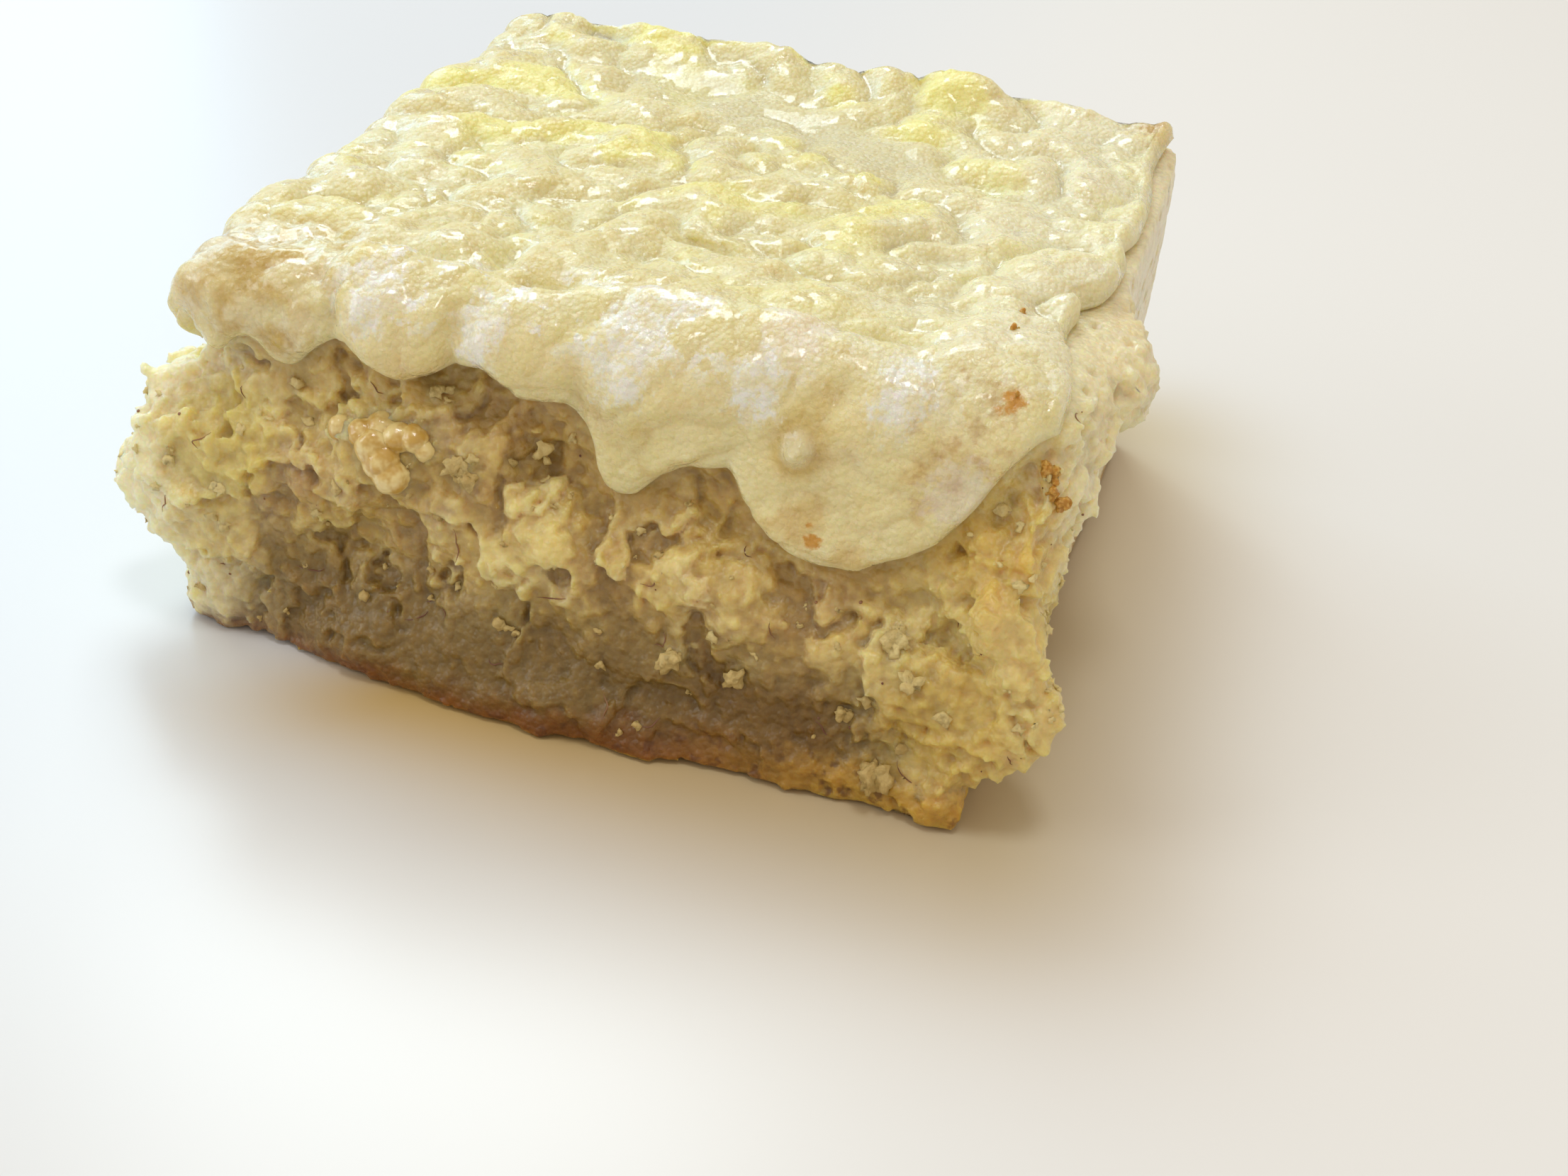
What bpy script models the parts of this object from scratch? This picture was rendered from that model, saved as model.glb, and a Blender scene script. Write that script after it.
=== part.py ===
"""A square piece of banana cake: a torn sponge block under a poured icing.

The design is laid out in millimetres on a straight block, whose front is at -Y and whose
base is at Z = 0. One last step, settle(), leans that block to the real, uneven cut, and
the meshes are placed in metres.
"""

import math
from collections import namedtuple

import bmesh
import bpy
from mathutils import Vector, noise

MM = 0.001  # metres in a millimetre

# The straight block, with its icing
WIDTH = 60.0
DEPTH = 58.0
HEIGHT = 29.0

# Where the corners of the real cut lie, as (x, y), on top and at the base
Cut = namedtuple("Cut", "front_left front_right back_right back_left")
TOP_CORNERS = Cut((-30.4, -30.6), (30.8, -25.3), (31.0, 29.4), (-32.2, 31.6))
BASE_CORNERS = Cut((-29.7, -29.6), (28.6, -32.9), (30.6, 29.0), (-32.2, 31.6))

# Icing
ICING_THICKNESS = 1.9
ICING_EDGE_SHARE = 0.5  # of the thickness, at the icing's free edge
ICING_GAP = 0.45  # between the icing and the sponge
SHOULDER_RADIUS = 3.1  # the inside of the bend from the top down to the front
LEFT_SHOULDER_RADIUS = 1.6
CORNER_POWER = 4.0  # how square the icing folds over a corner
FRONT_HANG = 3.3  # how far the icing comes down between its drips
LEFT_HANG = 4.6
HANG_FADE = (25.0, 30.5)  # across the front, where the icing is torn away at the right
RIGHT_MARGIN = 0.8  # bare rim beside the icing
BACK_MARGIN = 0.6
LEAST_HANG = 0.6  # at the torn right corner
PILLOW_SIZE = 6.5
PILLOW_HEIGHT = 0.9
DRIP_BULGE = 0.8  # extra thickness in the middle of a long drip
LONG_DRIP = 8.0
EDGE_CELLS = 2.0  # over which the icing thins to its edge

# Sponge
TOP_ROUNDING = 2.8
BASE_ROUNDING = 0.8
RIM_ROUNDING = 1.0
CRUST_LEDGE = 0.5  # how far the baked base stands out
CRUST_LEDGE_HEIGHT = 1.2
COVERED_FADE = 3.2  # height over which the sponge steps back under the icing
COVERED_MARGIN = 2.3  # how far below the icing's edge the sponge has stepped back
COVERED_SPREAD = 3.8  # how far beside a drip the sponge still steps back
RELIEF_REACH = 0.25  # share of the half block over which a face's relief fades inwards
CRUMB_SIZES = (7.0, 3.0)  # broad lumps and finer ones
FINE_CRUMB_SHARE = 0.5  # height of the finer lumps, of that of the broad ones
CRUMB_RELIEF = 0.7
CLEAN_CUT_RELIEF = 0.15
TORN_END, TORN_FADE = -2.0, 6.0  # how far back the right side is torn

# How finely the two bodies are divided
SPONGE_CUTS = (24, 20, 12)
ICING_COLUMNS_OVER_LEFT = 4
ICING_COLUMNS = 36
ICING_ROWS_BEHIND = 13
ICING_ROWS_NEAR = 6
ICING_ROWS_OVER_FRONT = 12
NEAR_ROWS_START = -8.0  # from here to the front the rows are closer together

# A drip hangs from the icing's edge: its middle, half its width, how low it comes
Drip = namedtuple("Drip", "middle half_width hang")
FRONT_DRIPS = (
    Drip(-28.8, 3.4, 4.8),
    Drip(-24.9, 2.7, 8.6),
    Drip(-20.8, 3.0, 8.1),
    Drip(-13.3, 4.4, 5.0),
    Drip(-4.2, 4.6, 4.9),
    Drip(2.4, 3.0, 10.0),
    Drip(7.6, 4.6, 7.2),
    Drip(17.5, 8.0, 11.9),
)
LEFT_DRIPS = (
    Drip(-25.0, 4.0, 6.0),
    Drip(-13.0, 4.5, 7.4),
    Drip(-2.0, 4.0, 5.4),
    Drip(9.5, 5.0, 8.2),
    Drip(21.0, 4.5, 5.8),
)

# A tear bares more of the rim at the right: its middle, its reach, its depth
Tear = namedtuple("Tear", "middle reach depth")
RIGHT_TEARS = (Tear(-14.0, 6.5, 2.0), Tear(28.0, 6.0, 2.4))

# A lump stands out of a face: where it is along the face and up it, its reach each way
Lump = namedtuple("Lump", "along up wide tall out")
FRONT_LUMPS = (
    Lump(-4.0, 0.0, 16.0, 6.0, 2.3),
    Lump(0.0, 14.6, 8.0, 3.4, 0.9),
    Lump(11.5, 11.4, 6.0, 3.0, 0.9),
    Lump(-16.5, 13.6, 4.0, 3.2, 1.0),
    Lump(-12.5, 8.8, 4.4, 3.2, -1.9),
    Lump(-10.0, 23.6, 3.2, 2.8, -2.2),
    Lump(6.0, 4.4, 14.0, 2.6, -0.5),
    Lump(23.0, 12.6, 2.8, 3.0, -1.6),
    Lump(28.0, 17.0, 3.6, 6.0, 1.2),
    Lump(27.5, 6.0, 3.5, 4.0, 0.6),
    Lump(-26.5, 12.0, 3.5, 5.0, 0.8),
)
LEFT_LUMPS = (
    Lump(-26.5, 9.6, 5.0, 4.2, 5.2),
    Lump(-26.0, 18.6, 6.0, 4.6, 2.9),
    Lump(-12.0, 11.0, 6.0, 5.0, 1.2),
    Lump(-1.0, 17.0, 5.5, 4.5, 0.8),
    Lump(9.0, 9.0, 6.5, 5.0, 1.4),
    Lump(21.0, 14.0, 6.0, 5.5, 0.9),
)
RIGHT_LUMPS = (
    Lump(-28.0, 9.0, 3.8, 3.6, 4.6),
    Lump(-20.5, 21.5, 4.5, 4.5, 2.4),
    Lump(-11.5, 23.5, 5.0, 3.6, 3.2),
    Lump(-4.5, 20.0, 4.0, 4.5, 1.5),
    Lump(-16.0, 12.0, 6.0, 5.0, 0.9),
)
BACK_LUMPS = (Lump(-14.0, 12.0, 16.0, 8.0, 0.5), Lump(14.0, 16.0, 14.0, 8.0, 0.4))

# A swell raises the whole cake's top: its middle, its reach each way, its height
Swell = namedtuple("Swell", "x y wide deep rise")
TOP_SWELLS = (
    Swell(-20.0, 29.0, 9.0, 6.0, 2.2),
    Swell(-5.0, 29.0, 9.0, 5.0, 1.8),
    Swell(12.0, 29.0, 9.0, 5.0, 2.3),
    Swell(28.0, 28.0, 4.0, 5.0, 1.6),
    Swell(-9.0, 20.5, 7.0, 4.0, -1.0),
    Swell(1.0, 15.5, 7.0, 4.0, -1.1),
    Swell(10.0, 10.5, 5.0, 4.0, -0.9),
    Swell(26.0, 22.0, 7.0, 7.0, 0.4),
)

SPONGE_COLOUR = (0.46, 0.35, 0.19)
ICING_COLOUR = (0.78, 0.72, 0.47)
SPONGE_ROUGHNESS = 0.85
ICING_ROUGHNESS = 0.3


def smooth(value):
    """0 below 0, 1 above 1, and an even S between them."""
    value = min(max(value, 0.0), 1.0)
    return value * value * (3.0 - 2.0 * value)


def hill(x, y, wide, tall):
    """1 in the middle of a round hill, and almost 0 two reaches away."""
    return math.exp(-((x / wide) ** 2) - (y / tall) ** 2)


def lumps_at(lumps, along, up):
    return sum(l.out * hill(along - l.along, up - l.up, l.wide, l.tall) for l in lumps)


def drip_shape(drip, along):
    """The half ellipse of a drip: 1 at its middle, 0 beside it."""
    off = (along - drip.middle) / drip.half_width
    return math.sqrt(1.0 - off * off) if abs(off) < 1.0 else 0.0


def hang(drips, least, along):
    """How far the icing comes down, between and at its drips."""
    return max([least] + [d.hang * drip_shape(d, along) for d in drips])


def front_hang(x):
    whole = 1.0 - smooth((x - HANG_FADE[0]) / (HANG_FADE[1] - HANG_FADE[0]))
    return max(hang(FRONT_DRIPS, FRONT_HANG, x) * whole, LEAST_HANG)


def left_hang(y):
    return hang(LEFT_DRIPS, LEFT_HANG, y)


def right_edge(y):
    """Where the icing ends at the right, back from the rim."""
    torn = sum(t.depth * math.exp(-(((y - t.middle) / t.reach) ** 2)) for t in RIGHT_TEARS)
    return WIDTH / 2 - RIGHT_MARGIN - torn


def crumb(point):
    """An unevenness that is the same each time, from about -1 to 1."""
    broad, fine = (noise.noise(Vector(point) / size) for size in CRUMB_SIZES)
    return broad + FINE_CRUMB_SHARE * fine


def covered(along, up, hang_of, least):
    """1 where icing hangs over a face, and 0 a little below and beside it."""
    beside = [along + share * COVERED_SPREAD for share in (-1.0, -0.5, 0.0, 0.5, 1.0)]
    lower_edge = HEIGHT - max([least] + [hang_of(place) for place in beside])
    return smooth((up - lower_edge + COVERED_MARGIN) / COVERED_FADE + 1.0)


def torn_face(point):
    """The relief of bare torn crumb, with the baked base standing out below it."""
    ledge = CRUST_LEDGE * math.exp(-point[2] / CRUST_LEDGE_HEIGHT)
    return CRUMB_RELIEF * crumb(point) + ledge


def front_relief(x, z):
    """How far the torn front stands out of the straight block's face."""
    under = covered(x, z, front_hang, FRONT_HANG)
    relief = lumps_at(FRONT_LUMPS, x, z)
    bare = torn_face((x, -DEPTH / 2, z)) + max(relief, 0.0)
    step = ICING_THICKNESS + ICING_GAP
    return (1.0 - under) * bare + min(relief, 0.0) - step * under


def left_relief(y, z):
    under = covered(y, z, left_hang, LEFT_HANG)
    bare = torn_face((-WIDTH / 2, y, z)) + lumps_at(LEFT_LUMPS, y, z)
    step = ICING_THICKNESS + ICING_GAP
    return (1.0 - under) * bare - step * under


def right_relief(y, z):
    """Torn towards the front, and a clean cut behind."""
    torn = 1.0 - smooth((y - TORN_END) / TORN_FADE)
    uneven = CLEAN_CUT_RELIEF + (CRUMB_RELIEF - CLEAN_CUT_RELIEF) * torn
    return uneven * crumb((WIDTH / 2, y, z)) + lumps_at(RIGHT_LUMPS, y, z)


def back_relief(x, z):
    return CLEAN_CUT_RELIEF * crumb((x, DEPTH / 2, z)) + lumps_at(BACK_LUMPS, x, z)


def settle(x, y, z):
    """The place on the real cake of a point of the straight block, in metres."""
    z *= 1.0 + sum(s.rise * hill(x - s.x, y - s.y, s.wide, s.deep) for s in TOP_SWELLS) / HEIGHT
    across, along, up = x / WIDTH + 0.5, y / DEPTH + 0.5, z / HEIGHT
    place = Vector((0.0, 0.0, z))
    for axis in (0, 1):
        base, top = (
            (1 - along) * ((1 - across) * cut.front_left[axis] + across * cut.front_right[axis])
            + along * ((1 - across) * cut.back_left[axis] + across * cut.back_right[axis])
            for cut in (BASE_CORNERS, TOP_CORNERS)
        )
        place[axis] = base + (top - base) * up
    return place * MM


def sliced_box(counts):
    """A cube from 0 to 1 each way, divided evenly, ready to be shaped."""
    bm = bmesh.new()
    bmesh.ops.create_cube(bm, size=1.0)
    bmesh.ops.translate(bm, verts=bm.verts, vec=(0.5, 0.5, 0.5))
    for axis, count in enumerate(counts):
        for step in range(1, count):
            place, normal = Vector(), Vector()
            place[axis], normal[axis] = step / count, 1.0
            every = bm.verts[:] + bm.edges[:] + bm.faces[:]
            bmesh.ops.bisect_plane(bm, geom=every, plane_co=place, plane_no=normal, dist=1e-6)
    return bm


def rounded(point, low, high, low_rounding, high_rounding):
    """A point on a box, drawn in to the box with rounded edges."""
    core, off = Vector(), Vector()
    for axis in range(3):
        core[axis] = min(
            max(point[axis], low[axis] + low_rounding[axis]), high[axis] - high_rounding[axis]
        )
        way = point[axis] - core[axis]
        off[axis] = way / (low_rounding[axis] if way < 0 else high_rounding[axis])
    if off.length > 1.0:
        off /= off.length
    for axis in range(3):
        core[axis] += off[axis] * (low_rounding if off[axis] < 0 else high_rounding)[axis]
    return core


def sponge_point(share):
    """A point of the sponge, from its share of the way across, along and up the block."""
    top = HEIGHT - ICING_THICKNESS - ICING_GAP
    low, high = (-WIDTH / 2, -DEPTH / 2, 0.0), (WIDTH / 2, DEPTH / 2, top)
    point = [low[axis] + share[axis] * (high[axis] - low[axis]) for axis in range(3)]
    # The top is rounder towards the sides that the icing folds over.
    folded = smooth(1.0 - 2.0 * min(share[0], share[1]))
    top_rounding = RIM_ROUNDING + (TOP_ROUNDING - RIM_ROUNDING) * folded
    x, y, z = rounded(
        point,
        low,
        high,
        (RIM_ROUNDING, TOP_ROUNDING, BASE_ROUNDING),
        (RIM_ROUNDING, RIM_ROUNDING, top_rounding),
    )
    # Each face's relief fades evenly to nothing at the block's middle.
    reach_x, reach_y = WIDTH / 2 * (1.0 - RELIEF_REACH), DEPTH / 2 * (1.0 - RELIEF_REACH)
    right, left = (min(max(side, 0.0) / reach_x, 1.0) for side in (x, -x))
    back, front = (min(max(side, 0.0) / reach_y, 1.0) for side in (y, -y))
    moved_x = x + right * right_relief(y, z) - left * left_relief(y, z)
    moved_y = y + back * back_relief(x, z) - front * front_relief(x, z)
    return settle(moved_x, moved_y, z)


def bend_length(drop, radius):
    """How far a sheet runs over a shoulder of this radius to come down by this drop."""
    if drop < radius:
        return radius * math.acos(1.0 - drop / radius)
    return drop + radius * (math.pi / 2 - 1.0)


def pillow(x, y):
    """The height of the icing's rounded pillows, from -0.5 to 0.5."""
    nearest = noise.voronoi(Vector((x, y, 0.0)) / PILLOW_SIZE)[0][0]
    return 0.5 - min(nearest, 1.0)


def icing_thickness(x, y, past_front, edge):
    """Its thickness at a place of the sheet. edge is 0 at the free edge, and 1 well inside."""
    drips = max(drip_shape(d, x) * smooth(d.hang / LONG_DRIP) for d in FRONT_DRIPS)
    bulge = DRIP_BULGE * drips * smooth(past_front / SHOULDER_RADIUS)
    full = ICING_THICKNESS + PILLOW_HEIGHT * pillow(x, y - past_front) + bulge
    return full * (ICING_EDGE_SHARE + (1.0 - ICING_EDGE_SHARE) * smooth(edge))


def icing_point(share, columns, rows):
    """A point of the icing, from its column, its row and its side, 0 inside and 1 outside."""
    column, row, outside = share[0] * columns, share[1] * rows, share[2]
    left_start = -WIDTH / 2 + ICING_THICKNESS + LEFT_SHOULDER_RADIUS
    front_start = -DEPTH / 2 + ICING_THICKNESS + SHOULDER_RADIUS
    back_end = DEPTH / 2 - BACK_MARGIN

    # The row gives the place along the block, and how far past the front shoulder it is.
    past_rows = ICING_ROWS_OVER_FRONT - row
    near_rows = row - ICING_ROWS_OVER_FRONT
    y = front_start
    if 0.0 <= near_rows <= ICING_ROWS_NEAR:
        y += near_rows / ICING_ROWS_NEAR * (NEAR_ROWS_START - front_start)
    elif near_rows > ICING_ROWS_NEAR:
        far_share = (near_rows - ICING_ROWS_NEAR) / ICING_ROWS_BEHIND
        y = NEAR_ROWS_START + far_share * (back_end - NEAR_ROWS_START)

    # The column gives the place across it, and how far past the left shoulder it is.
    past_columns = ICING_COLUMNS_OVER_LEFT - column
    left_share = max(past_columns, 0.0) / ICING_COLUMNS_OVER_LEFT
    across_share = max(-past_columns, 0.0) / ICING_COLUMNS
    x = left_start + across_share * (right_edge(y) - left_start)
    past_left = left_share * bend_length(left_hang(y), LEFT_SHOULDER_RADIUS)
    front_share = max(past_rows, 0.0) / ICING_ROWS_OVER_FRONT
    full_x = x - left_share * (WIDTH / 2 + left_start)
    past_front = front_share * bend_length(front_hang(full_x), SHOULDER_RADIUS)

    # Both together fold the sheet over the shoulder, also round the corner.
    past = (past_left**CORNER_POWER + past_front**CORNER_POWER) ** (1.0 / CORNER_POWER)
    way = Vector((-past_left, -past_front, 0.0))
    if way.length:
        way.normalize()
    radius = LEFT_SHOULDER_RADIUS + (SHOULDER_RADIUS - LEFT_SHOULDER_RADIUS) * way.y**2
    turn = min(past / radius, math.pi / 2)
    out = radius * math.sin(turn)
    down = radius * (1.0 - math.cos(turn)) + max(past - radius * math.pi / 2, 0.0)
    normal = way * math.sin(turn) + Vector((0.0, 0.0, math.cos(turn)))
    inside = Vector((x, y, HEIGHT - ICING_THICKNESS - down)) + way * out

    edge = min(row, rows - row, column, columns - column) / EDGE_CELLS
    thickness = icing_thickness(full_x, y, past_front, edge)
    return settle(*(inside + normal * thickness * outside))


def material(name, colour, roughness):
    made = bpy.data.materials.new(name)
    made.use_nodes = True
    shader = made.node_tree.nodes["Principled BSDF"]
    shader.inputs["Base Color"].default_value = (*colour, 1.0)
    shader.inputs["Roughness"].default_value = roughness
    shader.inputs["Metallic"].default_value = 0.0
    return made


def shaped_object(name, counts, place_of, finish, collection):
    """A divided box whose points are each put in their place, as one object."""
    bm = sliced_box(counts)
    for vertex in bm.verts:
        vertex.co = place_of(vertex.co)
    bmesh.ops.recalc_face_normals(bm, faces=bm.faces)
    mesh = bpy.data.meshes.new(name)
    bm.to_mesh(mesh)
    bm.free()
    mesh.shade_smooth()
    mesh.materials.append(finish)
    made = bpy.data.objects.new(name, mesh)
    collection.objects.link(made)
    return made


def centre_on_origin(objects):
    """Moves the meshes so that the middle of their box stands on the origin."""
    points = [vertex.co for made in objects for vertex in made.data.vertices]
    for axis in (0, 1):
        middle = (min(p[axis] for p in points) + max(p[axis] for p in points)) / 2
        for point in points:
            point[axis] -= middle


def main():
    for old in list(bpy.data.objects):
        bpy.data.objects.remove(old, do_unlink=True)
    collection = bpy.data.collections.new("banana_cake")
    bpy.context.scene.collection.children.link(collection)

    sponge = shaped_object(
        "sponge",
        SPONGE_CUTS,
        sponge_point,
        material("sponge crumb", SPONGE_COLOUR, SPONGE_ROUGHNESS),
        collection,
    )
    columns = ICING_COLUMNS_OVER_LEFT + ICING_COLUMNS
    rows = ICING_ROWS_OVER_FRONT + ICING_ROWS_NEAR + ICING_ROWS_BEHIND
    icing = shaped_object(
        "icing",
        (columns, rows, 1),
        lambda share: icing_point(share, columns, rows),
        material("poured icing", ICING_COLOUR, ICING_ROUGHNESS),
        collection,
    )
    centre_on_origin((sponge, icing))


main()
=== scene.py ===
"""The looks of a square piece of banana cake: torn crumb under a poured, pillowed icing.

Sizes are in millimetres on the same straight block that the solids were laid out on, and
settle() leans that block to the real cut. Meshes are in metres.
"""

import math
from collections import namedtuple
from functools import reduce

import bmesh
import bpy
import numpy as np
from mathutils import Euler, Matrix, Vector


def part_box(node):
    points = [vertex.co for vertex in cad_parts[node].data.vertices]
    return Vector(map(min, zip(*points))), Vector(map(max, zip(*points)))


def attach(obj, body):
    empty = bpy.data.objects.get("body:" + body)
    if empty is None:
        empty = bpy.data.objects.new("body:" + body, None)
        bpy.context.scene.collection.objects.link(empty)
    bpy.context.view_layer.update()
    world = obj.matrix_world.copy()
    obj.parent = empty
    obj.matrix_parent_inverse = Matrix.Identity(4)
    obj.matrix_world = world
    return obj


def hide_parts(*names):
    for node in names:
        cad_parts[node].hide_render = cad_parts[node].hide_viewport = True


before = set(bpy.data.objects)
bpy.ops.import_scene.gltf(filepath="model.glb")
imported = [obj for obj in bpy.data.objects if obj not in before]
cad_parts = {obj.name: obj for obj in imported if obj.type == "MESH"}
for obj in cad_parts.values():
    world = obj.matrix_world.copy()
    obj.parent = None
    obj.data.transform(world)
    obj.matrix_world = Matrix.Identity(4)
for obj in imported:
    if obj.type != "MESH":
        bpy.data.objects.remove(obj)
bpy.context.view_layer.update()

MM = 0.001

# The straight block with its icing, and where the corners of the real cut lie
WIDTH, DEPTH, HEIGHT = 60.0, 58.0, 29.0
Cut = namedtuple("Cut", "front_left front_right back_right back_left")
TOP_CORNERS = Cut((-30.4, -30.6), (30.8, -25.3), (31.0, 29.4), (-32.2, 31.6))
BASE_CORNERS = Cut((-29.7, -29.6), (28.6, -32.9), (30.6, 29.0), (-32.2, 31.6))
CENTRING = (0.634, 0.768)  # moves the cake's box onto the origin

Swell = namedtuple("Swell", "x y wide deep rise")
TOP_SWELLS = (
    Swell(-20.0, 29.0, 9.0, 6.0, 2.2),
    Swell(-5.0, 29.0, 9.0, 5.0, 1.8),
    Swell(12.0, 29.0, 9.0, 5.0, 2.3),
    Swell(28.0, 28.0, 4.0, 5.0, 1.6),
    Swell(-9.0, 20.5, 7.0, 4.0, -1.0),
    Swell(1.0, 15.5, 7.0, 4.0, -1.1),
    Swell(10.0, 10.5, 5.0, 4.0, -0.9),
    Swell(26.0, 22.0, 7.0, 7.0, 0.4),
)

# Icing
ICING_THICKNESS = 1.9
SHOULDER_RADIUS = 3.1
LEFT_SHOULDER_RADIUS = 1.6
CORNER_POWER = 4.0
RIGHT_MARGIN = 0.8
BACK_MARGIN = 0.6
SUNK = 0.55  # how far the icing's inside sinks into the crumb
FRONT_LIP, LEFT_LIP, RIGHT_LIP, BACK_LIP = 1.3, 1.1, 1.0, 0.6  # how round each edge is

# How far the icing hangs down the front, from left to right
FRONT_HANG = (
    (-32.0, 3.4), (-30.2, 4.0), (-28.6, 3.4), (-27.4, 4.6), (-26.0, 5.9), (-24.6, 4.4),
    (-23.4, 4.2), (-22.2, 5.6), (-20.6, 5.9), (-19.2, 4.4), (-17.6, 3.2), (-16.4, 3.2),
    (-14.6, 4.6), (-12.7, 5.2), (-10.8, 4.4), (-9.3, 3.3), (-7.2, 3.3), (-4.4, 4.9),
    (-1.6, 4.6), (0.1, 6.2), (1.4, 9.6), (2.4, 10.2), (3.7, 9.9), (5.2, 8.2), (6.8, 7.3),
    (9.6, 6.9), (11.3, 9.4), (13.6, 11.3), (16.2, 12.0), (18.8, 11.9), (21.6, 10.4),
    (23.8, 8.8), (25.4, 6.4), (26.4, 3.8), (28.0, 1.8), (30.0, 0.7), (32.0, 0.7),
)
LEFT_HANG = (
    (-32.0, 4.4), (-28.0, 5.0), (-25.0, 6.2), (-21.5, 4.6), (-17.0, 4.8), (-13.4, 7.6),
    (-10.0, 5.6), (-6.5, 4.4), (-2.0, 5.4), (1.5, 4.4), (5.5, 5.2), (9.4, 8.2), (12.6, 6.4),
    (15.5, 4.6), (21.0, 5.8), (25.5, 4.4), (32.0, 4.6),
)
HANG_SOFTNESS = 0.4
THIN_CORNER = (-16.5, -18.0)  # the flat x and y past which the icing is only a thin wet glaze
Tear = namedtuple("Tear", "middle reach depth")
RIGHT_TEARS = (
    Tear(-14.0, 6.5, 2.0), Tear(22.0, 5.0, 0.8), Tear(-9.0, 1.4, 0.9), Tear(3.5, 1.8, 0.6)
)

# Pillows and lobes of the icing near the front, flat on top, and its pits and creases, in the
# sheet's own flat coordinates: x across, and y running on down the front
ICING_PILLOWS = (
    Swell(-29.6, -25.6, 2.0, 3.6, 2.8),
    Swell(-25.8, -26.6, 1.6, 2.4, 0.5),
    Swell(-22.5, -25.2, 2.9, 2.4, 0.5),
    Swell(-24.6, -30.0, 2.2, 3.0, 0.4),
    Swell(-20.4, -30.2, 2.0, 2.6, 0.4),
    Swell(-15.6, -24.9, 3.5, 2.3, 0.8),
    Swell(-13.3, -28.7, 3.8, 2.8, 1.2),
    Swell(-10.2, -25.6, 1.8, 1.8, 0.6),
    Swell(-5.0, -27.8, 3.3, 2.9, 0.9),
    Swell(-12.6, -19.4, 2.5, 2.6, 0.7),
    Swell(-20.0, -20.0, 3.6, 3.0, 0.6),
    Swell(-5.6, -19.6, 2.6, 2.7, 0.6),
    Swell(2.2, -22.5, 5.4, 2.5, 0.8),
    Swell(2.6, -27.6, 4.3, 2.6, 0.6),
    Swell(4.2, -31.2, 4.0, 3.8, 0.8),
    Swell(10.0, -25.2, 4.9, 2.4, 0.8),
    Swell(11.0, -19.0, 3.2, 2.4, 0.5),
    Swell(17.2, -34.0, 6.9, 5.8, 1.0),
    Swell(23.6, -21.8, 3.9, 3.4, 0.8),
    Swell(17.0, -27.4, 4.0, 2.4, 0.5),
    Swell(25.2, -27.0, 2.6, 2.4, 0.5),
)
ICING_PITS = (
    Swell(13.8, -29.8, 0.85, 0.85, 1.9),
    Swell(17.3, -22.6, 2.9, 0.9, -1.3),
    Swell(18.5, -20.2, 1.6, 0.9, -0.7),
    Swell(-14.6, -22.6, 2.2, 0.6, -1.0),
    Swell(-8.8, -20.2, 0.9, 2.6, -0.9),
    Swell(-5.2, -23.6, 2.4, 0.6, -0.9),
    Swell(17.5, -6.6, 1.8, 1.0, -0.9),
    Swell(18.5, 10.4, 2.0, 1.3, -0.9),
    Swell(1.9, -12.0, 2.8, 0.6, -1.0),
    Swell(-9.4, -29.2, 0.55, 2.4, -1.0),
    Swell(-17.6, -28.4, 0.55, 2.6, -1.0),
    Swell(-0.9, -29.0, 0.8, 2.4, -0.5),
    Swell(15.3, -27.2, 1.0, 0.5, -0.6),
    Swell(-19.5, 27.0, 3.4, 2.0, -1.6),
)

# Small things seen at places of their own. Each is brought onto the surface by its piece.
Ball = namedtuple("Ball", "x y z radius")
ICING_RUN = (
    Ball(-17.0, -27.9, 18.0, 0.5), Ball(-16.1, -27.9, 18.1, 0.8), Ball(-15.0, -28.1, 17.9, 1.0),
    Ball(-13.8, -28.4, 17.3, 1.2), Ball(-12.7, -28.8, 16.7, 1.3), Ball(-12.1, -29.4, 16.0, 1.3),
    Ball(-13.4, -27.6, 18.6, 1.1), Ball(-12.0, -27.7, 18.0, 1.1), Ball(-11.0, -27.8, 18.2, 1.0),
    Ball(-10.3, -27.8, 17.5, 0.7),
)
PLACED_CRUMBS = (
    Ball(22.6, -31.5, 2.9, 1.2), Ball(23.6, -31.5, 2.7, 0.8), Ball(-7.8, -28.8, 17.3, 0.8),
    Ball(-7.0, -28.8, 16.7, 0.7), Ball(22.8, -28.4, 11.5, 0.8), Ball(22.9, -28.4, 12.3, 0.5),
    Ball(8.3, -31.4, 7.0, 0.9), Ball(20.1, -29.6, 6.1, 0.6), Ball(24.4, -29.4, 9.5, 0.8),
    Ball(-2.2, -26.6, 18.4, 0.7), Ball(12.4, -30.4, 6.8, 0.7),
)
CRUST_BITS = (
    Ball(27.2, -23.4, 28.0, 0.25), Ball(31.6, -25.7, 24.0, 0.6), Ball(32.0, -25.6, 23.1, 0.45),
    Ball(34.0, -25.6, 22.7, 0.6), Ball(25.7, -16.7, 29.6, 0.25), Ball(25.4, -12.0, 28.6, 0.2),
)
ORANGE_SPOTS = (
    ((27.2, -23.5, 27.6), 0.9),
    ((26.6, -23.9, 26.9), 0.6),
    ((16.4, -28.3, 17.4), 0.9),
    ((16.2, -28.0, 18.3), 0.5),
)
# On the flat sheet
BUBBLE = (13.8, -29.8, 0.0)
# Wet spots on the front shoulder, whose glints are also painted white
WET_AND_GLINT_SPOTS = (
    ((2.0, -26.6, 0.0), 3.0),
    ((19.3, -26.4, 0.0), 2.4),
    ((-7.5, -27.0, 0.0), 2.2),
    ((-14.5, -26.5, 0.0), 2.2),
    ((10.5, -27.5, 0.0), 2.0),
)
# Painted reflections: pale lilac patches on the drips
REFLECTION_SPOTS = (((24.1, -31.1, 0.0), 2.8), ((12.0, -24.6, 0.0), 2.6))
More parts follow.
